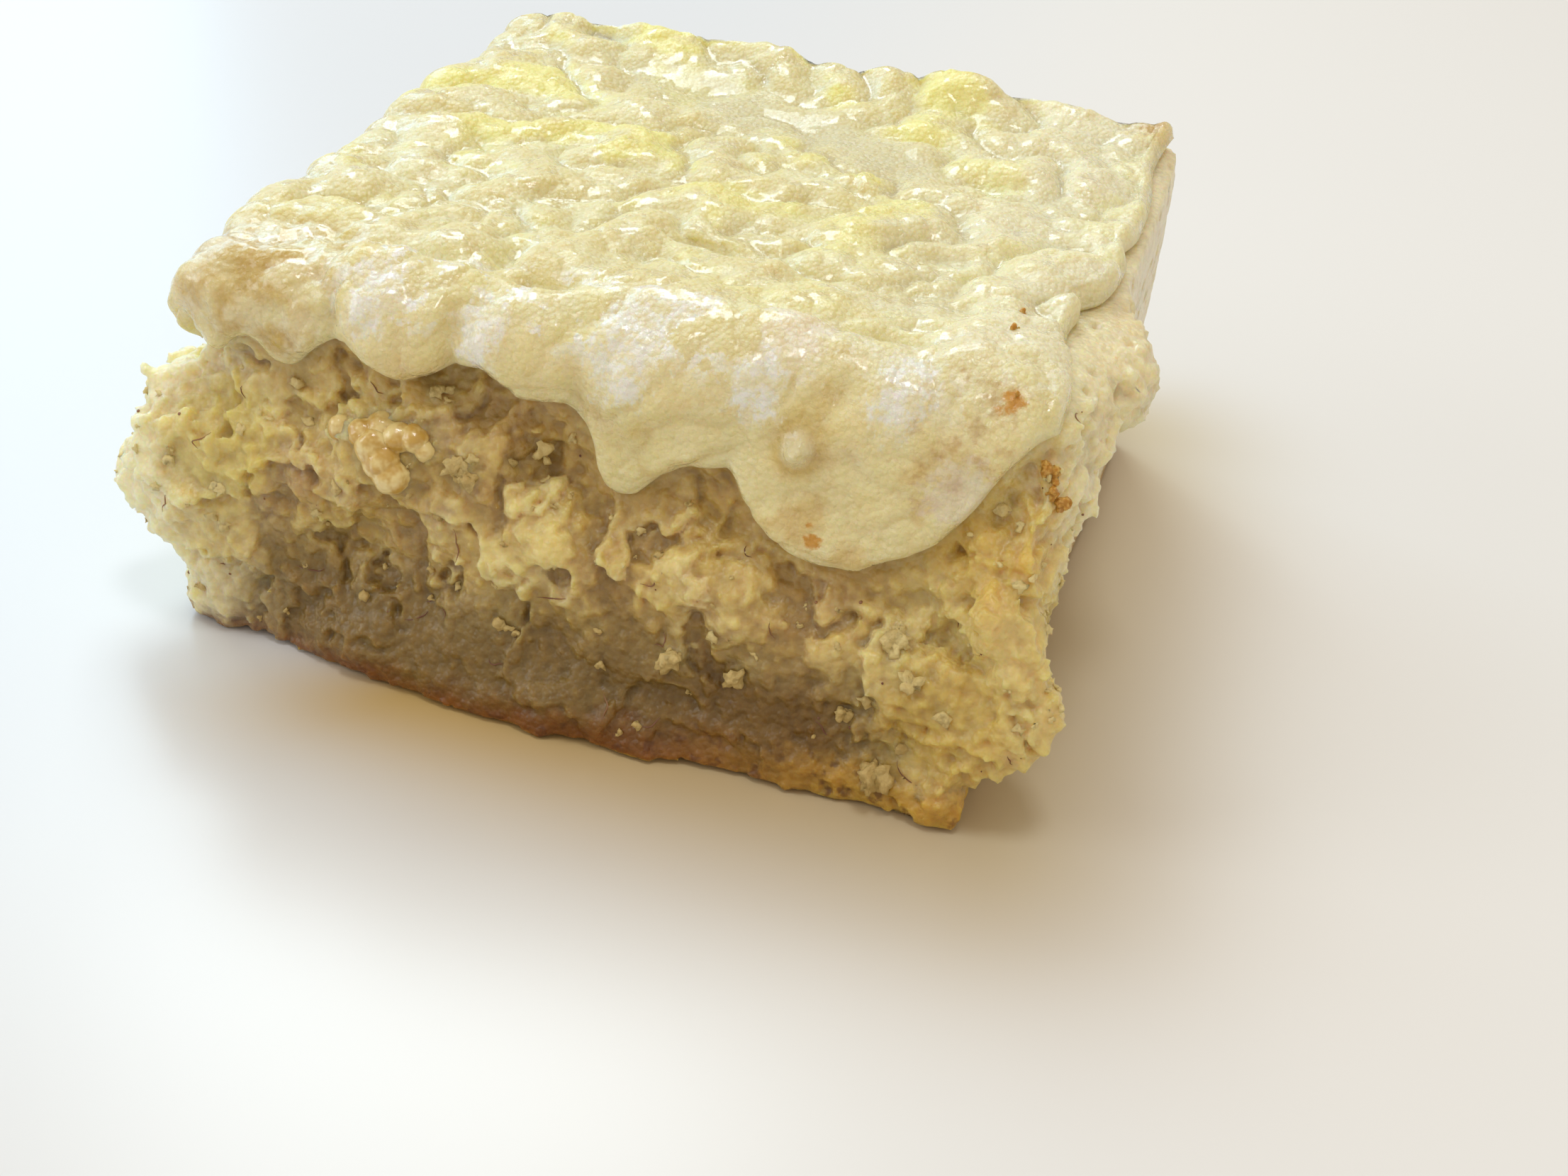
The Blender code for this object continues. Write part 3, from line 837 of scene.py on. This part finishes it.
def threads_tree(material):
    """Short curved threads that lie on the crumb."""
    inputs = {"Density": 1.5, "Thread Radius": 0.055, "Curl Radius": 1.2, "Material": material}
    tree, given, result = geometry_tree("banana threads", inputs)
    surface = given["Geometry"]
    points, turn = scattered_points(surface, given["Density"], open_front(tree), 11)
    inputs = {"Radius": given["Curl Radius"] * MM, "Sweep Angle": math.radians(95)}
    arc = put(tree, "GeometryNodeCurveArc", {"Resolution": 18, **inputs})
    threads = instances_on(points, arc, turn, random_number(tree, 0.4, 1.4, 2))
    roll = put(tree, "ShaderNodeCombineXYZ", {"Z": random_number(tree, 0.0, math.tau, 4)})
    inputs = {"Instances": threads, "Rotation": roll, "Local Space": True}
    threads = put(tree, "GeometryNodeRotateInstances", inputs)
    real = put(tree, "GeometryNodeRealizeInstances", {"Geometry": threads})
    wander = noise(in_millimetres(tree), 1.0 / 1.2, 1.0, out="Color")
    centred = vector("SUBTRACT", wander, (0.5, 0.5, 0.5))
    bent = moved(real, Offset=scaled(centred, 1.2 * MM))
    laid = moved(bent, Position=nearest_place(surface))
    inputs = {"Value": here(tree), "Iterations": 3}
    even = put(tree, "GeometryNodeBlurAttribute", inputs, data_type="FLOAT_VECTOR")
    laid = moved(laid, Position=even)
    along = put(tree, "GeometryNodeSplineParameter", out="Factor")
    thin_ends = calc("MULTIPLY_ADD", calc("SINE", along * math.pi), 0.8, 0.2)
    radius = thin_ends * given["Thread Radius"] * MM
    profile = put(tree, "GeometryNodeCurvePrimitiveCircle", {"Resolution": 6, "Radius": 1.0})
    inputs = {"Curve": laid, "Profile Curve": profile, "Scale": radius, "Fill Caps": True}
    solid = put(tree, "GeometryNodeCurveToMesh", inputs)
    return finished(solid, given["Material"], result)


def specks_tree(material):
    inputs = {"Density": 1.0, "Smallest": 0.05, "Largest": 0.13, "Material": material}
    tree, given, result = geometry_tree("dark specks", inputs)
    points, turn = scattered_points(given["Geometry"], given["Density"], open_front(tree), 17)
    radius = random_number(tree, given["Smallest"], given["Largest"], 6)
    lumps = lumps_at(points, turn, radius, 0.12, detail=2)
    return finished(lumps, given["Material"], result)


def placed_lumps_tree(surface, material):
    """Lumps at given places, brought onto a surface. Their radii are the mesh's own attribute."""
    inputs = {"Surface": surface, "Other Surface": surface, "Unevenness": 1.9, "Material": material}
    tree, given, result = geometry_tree("placed lumps", inputs)
    ground = put(tree, "GeometryNodeJoinGeometry")
    for label in ("Surface", "Other Surface"):
        feed(shape_of(given[label]), ground.socket.node.inputs["Geometry"])
    brought = moved(given["Geometry"], Position=nearest_place(ground))
    turn = random_vector(tree, (0.0, 0.0, 0.0), (6.3, 6.3, 6.3), 9)
    lumps = lumps_at(brought, turn, named(tree, "ball_radius"), given["Unevenness"])
    return finished(lumps, given["Material"], result)


def run_tree(surface, material):
    """A small run of icing: balls brought onto the crumb and melted into one."""
    tree, given, result = geometry_tree("icing run", {"Surface": surface, "Material": material})
    on_surface = nearest_place(shape_of(given["Surface"]))
    brought = moved(given["Geometry"], Position=on_surface)
    radius = named(tree, "ball_radius") * MM
    balls = put(tree, "GeometryNodeMeshToPoints", {"Mesh": brought, "Radius": radius})
    inputs = {"Points": balls, "Radius": radius, "Voxel Size": 0.12 * MM, "Density": 1.0}
    volume = put(tree, "GeometryNodePointsToVolume", inputs, resolution_mode="VOXEL_SIZE")
    surface_mesh = put(tree, "GeometryNodeVolumeToMesh", {"Volume": volume, "Threshold": 0.1})
    rough = wobble(in_millimetres(tree), 1.9, 1.0)
    softened = smooth_shaded(pushed_out(surface_mesh, rough * (0.7 * MM)))
    return finished(softened, given["Material"], result)


def points_mesh(name, balls):
    """A mesh of bare points, each with its radius in millimetres."""
    mesh = bpy.data.meshes.new(name)
    mesh.from_pydata([(b.x * MM, b.y * MM, b.z * MM) for b in balls], [], [])
    store_values(mesh, "ball_radius", [b.radius for b in balls])
    return mesh


def small_pieces(sponge, icing, crumb, amber, dark, orange):
    """Every small thing on the cake, one piece for each kind, with its slot."""
    on_crumb = {"Surface": sponge, "Other Surface": sponge}
    at_corner = {"Surface": icing, "Other Surface": sponge, "Unevenness": 1.5}
    crumb_places = points_mesh("crumb places", PLACED_CRUMBS)
    bit_places = points_mesh("bit places", CRUST_BITS)
    run_places = points_mesh("run places", ICING_RUN)
    kinds = (
        ("loose_crumbs", sponge.data.copy(), loose_crumbs_tree(crumb), {}, crumb),
        ("banana_threads", sponge.data.copy(), threads_tree(dark), {}, dark),
        ("dark_specks", sponge.data.copy(), specks_tree(dark), {}, dark),
        ("placed_crumbs", crumb_places, placed_lumps_tree(sponge, crumb), on_crumb, crumb),
        ("crust_bits", bit_places, placed_lumps_tree(icing, orange), at_corner, orange),
        ("icing_run", run_places, run_tree(sponge, amber), {"Surface": sponge}, amber),
    )
    pieces = []
    for name, mesh, tree, values, material in kinds:
        piece = worked(name, mesh, tree, {**values, "Material": material})
        pieces.append((piece, "icing" if name == "icing_run" else "sponge"))
    return pieces


# --- Materials -----------------------------------------------------------------------------


def new_material(name, **values):
    made = bpy.data.materials.new(name)
    made.use_nodes = True
    shader = made.node_tree.nodes["Principled BSDF"]
    for key, value in {"subsurface_scale": MM, **values}.items():
        shader.inputs[key.replace("_", " ").title()].default_value = value
    return made, made.node_tree, shader


def mixed(share, first, second):
    """The second colour over the first, by a share from 0 to 1."""
    return put(share.tree, "ShaderNodeMix", {0: share, 6: first, 7: second}, 2, data_type="RGBA")


def object_millimetres(tree):
    return scaled(put(tree, "ShaderNodeTexCoord", out="Object"), 1000.0)


def attribute(tree, name):
    return put(tree, "ShaderNodeAttribute", out="Fac", attribute_name=name)


def fine_grain_group():
    """A group that gives the granules and fibres of a moist food, as a height."""
    tree = bpy.data.node_groups.new("fine grain", "ShaderNodeTree")
    tree.interface.new_socket("Place", in_out="INPUT", socket_type="NodeSocketVector")
    sizes = {"Granule Size": 0.6, "Granules": 1.0, "Fibre Size": 0.25, "Fibres": 1.0}
    for label, value in sizes.items():
        made = tree.interface.new_socket(label, in_out="INPUT", socket_type="NodeSocketFloat")
        made.default_value = value
    tree.interface.new_socket("Height", in_out="OUTPUT", socket_type="NodeSocketFloat")
    given = inputs_of(tree)
    grains = granules(scaled(given["Place"], 1.0 / given["Granule Size"]), 1.0, level=0.6)
    fibre_place = scaled(given["Place"], 1.0 / given["Fibre Size"])
    fibres = noise(fibre_place, 1.0, 3.0, 0.65, distortion=0.8)
    height = grains * given["Granules"] + fibres * given["Fibres"]
    feed(height, tree.nodes.new("NodeGroupOutput").inputs["Height"])
    return tree


def fine_grain(group, place, **sizes):
    inputs = {key.replace("_", " ").title(): value for key, value in sizes.items()}
    return put(place.tree, "ShaderNodeGroup", {"Place": place, **inputs}, node_tree=group)


def bumped(shader, height, strength, distance):
    inputs = {"Height": height, "Strength": strength, "Distance": distance}
    feed(put(height.tree, "ShaderNodeBump", inputs), shader.inputs["Normal"])


def spot(place, centre, size, raggedness=1.0):
    """1 in a spot about a place, fading out at this distance from it."""
    away = vector("DISTANCE", place, centre, out="Value")
    uneven = wobble(place, 0.8, 3.0, 0.7)
    return ramp(calc("MULTIPLY_ADD", uneven, 2.0 * size * raggedness, away), size, 0.5 * size)


def crumb_material(grain_group):
    made, tree, shader = new_material(
        "moist crumb",
        roughness=0.4,
        subsurface_weight=0.85,
        subsurface_radius=(2.6, 1.7, 0.65),
        coat_weight=0.25,
        coat_roughness=0.2,
    )
    place = object_millimetres(tree)
    across, along, up = xyz(place)
    lift = attribute(tree, "lift")
    sizes = {"granule_size": 0.42, "granules": 1.1, "fibre_size": 0.35, "fibres": 0.35}
    grain = fine_grain(grain_group, place, **sizes)
    tan, cream, deep = (0.63, 0.45, 0.15, 1), (0.84, 0.70, 0.29, 1), (0.35, 0.21, 0.06, 1)
    # Painted light and shade: raised torn layers are lighter cream, low ones darker tan, and their
    # lower edges lighter still.
    colour = mixed(ramp(attribute(tree, "layers"), -0.5, 0.6), tan, cream)
    colour = mixed(attribute(tree, "lower_edge") * 0.6, colour, (0.92, 0.80, 0.43, 1))
    # Painted shade: darker in the recesses and under the torn layers.
    shade_under_layers = ramp(attribute(tree, "layers"), -0.35, -0.8, 0.0, 0.8)
    recess_shade = highest(ramp(lift, -0.35, -1.3), shade_under_layers)
    colour = mixed(recess_shade, colour, deep)
    purple = ramp(noise(place, 6.0, 4.0, 0.6), 0.5, 0.68) * ramp(along, -20.0, -26.0, 0.3, 0.55)
    colour = mixed(purple, colour, (0.46, 0.30, 0.15, 1))
    gold = ramp(noise(place, 5.0, 3.0), 0.52, 0.68) * 0.5
    colour = mixed(gold, colour, (0.70, 0.52, 0.15, 1))
    # Painted shade on the crumb just under the icing at the front.
    shade_near_icing = ramp(attribute(tree, "from_icing"), 5.0, 0.5, 0.0, 0.65)
    at_front = ramp(along, -18.0, -25.0)
    colour = mixed(shade_near_icing * at_front, colour, (0.54, 0.36, 0.12, 1))

    # Under the middle of the front the crumb is pressed and darker towards its baked base.
    wavy_up = calc("MULTIPLY_ADD", noise(place, 4.0, 3.0), -4.0, up + 2.0)
    pressed = ramp(wavy_up, 12.0, 5.0) * ramp(abs(across - 2.0), 33.0, 20.0, 0.2, 0.95)
    pressed = pressed * ramp(along, -20.0, 0.0, 1.0, 0.3)
    to_right = ramp(across, 0.0, 20.0)
    moist = mixed(to_right, (0.235, 0.145, 0.03, 1), (0.185, 0.09, 0.004, 1))
    colour = mixed(pressed, colour, moist)

    # Painted light: the corners are thin enough for light to come through and are painted lighter,
    # and the clean cut is pale.
    corners = ramp(abs(across + 1.0), 19.0, 29.0, 0.0, 0.9)
    corners = corners * ramp(along, -26.0, -12.0, 1.0, 0.35)
    lit = mixed(to_right, (0.97, 0.92, 0.62, 1), (0.78, 0.63, 0.25, 1))
    colour = mixed(corners, colour, lit)
    # Painted glow where light comes through the thin moist crumb, and the pale clean cut at the
    # right.
    for centre, size, shade in GLOW_AND_CUT_SPOTS:
        colour = mixed(spot(place, centre, size, 0.4) * 0.65, colour, shade)
    clean_cut = ramp(along, -12.0, 2.0) * ramp(across, 20.0, 28.0, 0.4, 0.75)
    colour = mixed(clean_cut, colour, (0.92, 0.85, 0.62, 1))
    # Painted shade in the pores of the clean cut.
    pore_shade = clean_cut * ramp(lift, -0.08, -0.45, 0.0, 0.8)
    colour = mixed(pore_shade, colour, (0.60, 0.46, 0.22, 1))

    crust_height = ramp(across, -20.0, 28.0, 0.7, 2.6)
    frayed = wobble(place, 1.1, 4.0, 0.7) * 2.4
    crust = ramp(wavy_up + frayed - crust_height, 1.9, -0.7)
    baked = mixed(ramp(across, 5.0, 27.0), (0.23, 0.085, 0.008, 1), (0.60, 0.37, 0.06, 1))
    baked = mixed(ramp(along, -22.0, -8.0, 0.0, 0.8), baked, (0.44, 0.25, 0.07, 1))
    dark_specks = ramp(noise(place, 1.2, 3.0), 0.52, 0.66)
    baked = mixed(dark_specks * 0.7, baked, (0.12, 0.035, 0.008, 1))
    colour = mixed(crust, colour, baked)

    mottled = ramp(noise(place, 1.3, 3.0, 0.6), 0.3, 0.7, 0.86, 1.03)
    shaded = put(tree, "ShaderNodeHueSaturation", {"Value": mottled, "Color": colour})
    feed(shaded, shader.inputs["Base Color"])
    bumped(shader, grain, 1.0, 0.00014)
    return made


def icing_material(grain_group):
    made, tree, shader = new_material(
        "banana icing",
        roughness=0.4,
        subsurface_weight=0.6,
        subsurface_radius=(2.2, 1.6, 0.6),
        coat_roughness=0.08,
    )
    place = object_millimetres(tree)
    inputs = {"X": attribute(tree, "flat_x"), "Y": attribute(tree, "flat_y")}
    flat = put(tree, "ShaderNodeCombineXYZ", inputs)
    flat_x, flat_y, _ = xyz(flat)
    grain = fine_grain(grain_group, place, granule_size=0.42, fibre_size=0.3, fibres=0.8)
    cream, pale = (0.80, 0.71, 0.34, 1), (0.86, 0.82, 0.50, 1)
    colour = mixed(ramp(noise(place, 4.0, 4.0, 0.6), 0.35, 0.65), cream, pale)
    # Painted shade in the hollows of the fine grain.
    grain_hollow_shade = ramp(grain, 0.9, 0.4) * 0.35
    colour = mixed(grain_hollow_shade, colour, (0.74, 0.66, 0.34, 1))
    lemon = ramp(noise(flat, 8.0, 3.0), 0.5, 0.6) * ramp(flat_y, -24.0, 10.0, 0.2, 0.95)
    colour = mixed(lemon, colour, (0.91, 0.85, 0.30, 1))
    right_side = ramp(flat_x, 8.0, 24.0, 0.0, 0.6) * ramp(flat_y, -28.0, -22.0)
    colour = mixed(right_side, colour, (0.88, 0.84, 0.62, 1))
    # Painted shade in the broad hollows of the top.
    colour = mixed(attribute(tree, "hollow") * 0.6, colour, (0.68, 0.64, 0.40, 1))
    # The front of the drips is golden: partly their own tone, partly painted warm fill light on the
    # front.
    golden = ramp(flat_y, -24.5, -29.0) * ramp(noise(place, 3.0, 4.0, 0.6), 0.35, 0.6, 0.35, 0.85)
    colour = mixed(golden, colour, (0.97, 0.84, 0.46, 1))
    ochre = ramp(flat_y, -27.0, -31.0) * ramp(noise(place, 5.0, 3.0, 0.6), 0.48, 0.62, 0.0, 0.55)
    colour = mixed(ochre, colour, (0.70, 0.50, 0.17, 1))
    stains = ramp(noise(place, 2.4, 4.0, 0.65), 0.52, 0.72) * 0.3
    colour = mixed(stains, colour, (0.66, 0.46, 0.12, 1))
    # Darker olive in the creases: partly the pooled glaze's tone, partly painted shade.
    colour = mixed(attribute(tree, "crease") * 0.6, colour, (0.68, 0.60, 0.29, 1))

    # A few orange and brown spots lie near the right corner.
    in_specks = ramp(noise(place, 1.7, 3.0, 0.6), 0.46, 0.66)
    scattered_brown = spot(flat, (23.6, -28.4, 0.0), 4.5) * in_specks * 0.5
    colour = mixed(scattered_brown, colour, (0.50, 0.27, 0.06, 1))
    colour = mixed(spot(flat, (31.0, 30.0, 0.0), 8.0, 0.5) * 0.8, colour, (0.54, 0.32, 0.10, 1))
    for centre, size in ORANGE_SPOTS:
        colour = mixed(spot(place, centre, size), colour, (0.68, 0.36, 0.06, 1))

    # At the left corner the icing is thin, wet and amber.
    corner = ramp(flat_x, -16.0, -20.0) * ramp(flat_y, -18.0, -23.0)
    amber = corner * ramp(noise(place, 3.0, 3.0), 0.3, 0.6, 0.2, 1.0)
    amber = amber * ramp(flat_x, -29.0, -26.5, 0.15, 1.0)
    in_patches = ramp(noise(place, 2.0, 3.0), 0.4, 0.6)
    colour = mixed(amber, colour, mixed(in_patches, (0.64, 0.46, 0.13, 1), (0.84, 0.72, 0.42, 1)))

    # Painted rim light makes the edges of the drips paler, and a bubble stands in the big one.
    rim_light_share = ramp(attribute(tree, "outside"), 1.0, 0.7, 0.0, 0.6)
    colour = mixed(rim_light_share, colour, (0.96, 0.86, 0.50, 1))
    # Painted reflections: pale lilac patches.
    for centre, size in REFLECTION_SPOTS:
        colour = mixed(spot(flat, centre, size) * 0.5, colour, (0.92, 0.82, 0.70, 1))
    # Painted shade at the outline of the bubble: a darker amber ring.
    colour = mixed(spot(flat, BUBBLE, 2.6, 0.2) * 0.7, colour, (0.66, 0.48, 0.12, 1))
    bubble = spot(flat, BUBBLE, 1.5, 0.0)
    colour = mixed(bubble, colour, (0.82, 0.74, 0.46, 1))

    # A clear wet film lies in the creases, on the front shoulder and over the left corner; on the
    # shoulder its glints are also painted white.
    patches = ramp(noise(place, 3.0, 5.0, 0.65), 0.52, 0.55)
    shoulder = ramp(flat_y, -21.5, -23.5) * ramp(flat_y, -28.5, -26.5)
    scattered = ramp(noise(place, 2.2, 4.0, 0.6), 0.52, 0.58, 0.2, 0.9)
    left_of_drip = ramp(flat_x, 14.0, 4.0, 0.35, 1.0) * (1.0 - corner)
    shoulder_wet_and_glints = patches * (shoulder * left_of_drip)
    for centre, size in WET_AND_GLINT_SPOTS:
        shoulder_wet_and_glints = highest(shoulder_wet_and_glints, spot(flat, centre, size))
    shoulder_wet_and_glints = shoulder_wet_and_glints * ramp(noise(place, 1.3, 4.0, 0.65), 0.42, 0.54, 0.4, 1.0)
    wet = highest(shoulder_wet_and_glints, corner * 0.85)
    wet = highest(wet, highest(attribute(tree, "crease"), attribute(tree, "hollow") * 0.45))
    wet = highest(wet, scattered, bubble)
    # Painted highlight: the shoulder's wet glints whitened in the colour.
    colour = mixed(shoulder_wet_and_glints * 0.85, colour, (0.99, 0.98, 0.90, 1))
    feed(colour, shader.inputs["Base Color"])
    feed(wet, shader.inputs["Coat Weight"])
    feed(ramp(wet, 0.2, 0.8, 0.42, 0.14), shader.inputs["Roughness"])
    bumped(shader, grain, 0.9, 0.00022)
    return made


def pale_crumb_material(grain_group):
    made, tree, shader = new_material(
        "pale loose crumb",
        roughness=0.55,
        subsurface_weight=0.12,
        subsurface_radius=(0.4, 0.25, 0.12),
    )
    place = object_millimetres(tree)
    grain = fine_grain(grain_group, place, granule_size=0.4, fibre_size=0.25, fibres=0.6)
    across, _, up = xyz(place)
    edge_light = ramp(abs(across), 14.0, 30.0)
    in_patches = ramp(noise(place, 2.0, 2.0), 0.35, 0.65)
    colour = mixed(in_patches, (0.58, 0.43, 0.16, 1), (0.76, 0.62, 0.28, 1))
    colour = mixed(edge_light * 0.6, colour, (0.90, 0.78, 0.38, 1))
    colour = mixed(ramp(up, 11.0, 5.0, 0.0, 0.8), colour, (0.58, 0.42, 0.15, 1))
    feed(colour, shader.inputs["Base Color"])
    bumped(shader, grain, 0.8, 0.0002)
    return made


def amber_run_material():
    """The small run is thin, amber and wet."""
    made, tree, shader = new_material(
        "amber run",
        roughness=0.3,
        subsurface_weight=0.15,
        subsurface_radius=(0.6, 0.4, 0.15),
        coat_weight=0.8,
        coat_roughness=0.1,
    )
    shade = ramp(noise(object_millimetres(tree), 1.8, 3.0, 0.6), 0.38, 0.58)
    feed(mixed(shade, (0.62, 0.39, 0.08, 1), (0.88, 0.73, 0.34, 1)), shader.inputs["Base Color"])
    return made


def thread_material():
    made, tree, shader = new_material(
        "dark banana thread",
        roughness=0.5,
        subsurface_weight=0.2,
        subsurface_radius=(1.0, 0.6, 0.3),
    )
    place = object_millimetres(tree)
    shade = ramp(noise(place, 6.0, 1.0), 0.4, 0.6)
    feed(mixed(shade, (0.18, 0.07, 0.04, 1), (0.32, 0.16, 0.08, 1)), shader.inputs["Base Color"])
    return made


def crust_bit_material(grain_group):
    made, tree, shader = new_material(
        "orange crust bit",
        roughness=0.35,
        subsurface_weight=0.3,
        subsurface_radius=(1.0, 0.6, 0.3),
    )
    place = object_millimetres(tree)
    grain = fine_grain(grain_group, place, granule_size=0.3)
    colour = mixed(ramp(grain, 0.4, 1.0), (0.55, 0.26, 0.03, 1), (0.82, 0.50, 0.13, 1))
    feed(colour, shader.inputs["Base Color"])
    bumped(shader, grain, 0.8, 0.0002)
    return made


# --- Stage ---------------------------------------------------------------------------------


def area_light(name, place, look_at_height, size, power, colour):
    data = bpy.data.lights.new(name, "AREA")
    data.shape = "SQUARE"
    data.size, data.energy, data.color = size, power, colour
    lamp = new_object(name, data)
    lamp.location = place
    way = Vector((0.0, 0.0, look_at_height)) - Vector(place)
    lamp.rotation_euler = way.to_track_quat("-Z", "Y").to_euler()


def set_stage():
    scene = bpy.context.scene
    world = bpy.data.worlds.new("pale room")
    scene.world = world
    world.use_nodes = True
    background = world.node_tree.nodes["Background"]
    background.inputs["Color"].default_value = (1.0, 0.85, 0.68, 1.0)
    background.inputs["Strength"].default_value = 0.64
    bpy.ops.mesh.primitive_plane_add(size=3.0)
    floor = bpy.context.object
    floor.name = "floor"
    material, tree, shader = new_material("pale floor", roughness=0.3)
    place = object_millimetres(tree)
    across, along, _ = xyz(place)
    # Painted light on the floor: cooler to the left and darker towards the front.
    plain = mixed(ramp(across, -60.0, 30.0), (0.71, 0.75, 0.80, 1), (0.81, 0.815, 0.81, 1))
    plain = mixed(ramp(along, -45.0, -95.0, 0.0, 0.7), plain, (0.69, 0.69, 0.69, 1))
    # Painted warm shadow on the floor in front of the cake and to its right.
    beyond = vector("SUBTRACT", vector("ABSOLUTE", place), (30.0, 31.0, 0.0))
    outside = vector("MAXIMUM", beyond, (0.0, 0.0, 0.0))
    from_cake = vector("LENGTH", outside, out="Value")
    painted_shadow = ramp(from_cake, calc("MULTIPLY_ADD", across, 0.2, 20.0), 0.0) ** 2.0
    painted_shadow = painted_shadow * ramp(along - across * 1.6, 6.0, -16.0)
    shade = mixed(ramp(across, -10.0, 30.0), (0.62, 0.45, 0.18, 1), (0.60, 0.52, 0.36, 1))
    feed(mixed(painted_shadow, plain, shade), shader.inputs["Base Color"])
    floor.data.materials.append(material)
    area_light("window behind", (-0.22, 0.40, 0.52), 0.0, 0.26, 1.55, (0.80, 0.93, 1.0))
    area_light("high window", (0.05, -0.08, 0.55), 0.0, 0.12, 0.55, (0.93, 0.96, 1.0))
    area_light("cool side", (-0.55, 0.42, 0.36), 0.0, 0.5, 1.75, (0.5, 0.78, 1.0))
    area_light("left fill", (-0.45, -0.22, 0.24), 0.01, 0.25, 0.52, (0.86, 0.94, 1.0))

    camera = bpy.data.cameras.new("camera")
    camera.lens, camera.sensor_width = 43.795, 36.0
    camera.clip_start = 0.005
    eye = new_object("camera", camera)
    eye.location = (0.039335, -0.129624, 0.079264)
    eye.rotation_euler = Euler([math.radians(a) for a in (57.667, -4.906, 16.598)])
    scene.camera = eye
    scene.view_settings.view_transform = "Standard"


def main():
    grain_group = fine_grain_group()
    crumb, icing_finish = crumb_material(grain_group), icing_material(grain_group)
    pale, amber = pale_crumb_material(grain_group), amber_run_material()
    dark, orange = thread_material(), crust_bit_material(grain_group)
    icing = icing_piece(icing_finish)
    sponge = crumb_piece(icing, crumb)
    for piece, node in ((icing, "icing"), (sponge, "sponge")):
        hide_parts(node)
    small = small_pieces(sponge, icing, pale, amber, dark, orange)
    for piece, slot in [(icing, "icing"), (sponge, "sponge")] + small:
        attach(piece, "root")
    set_stage()


main()
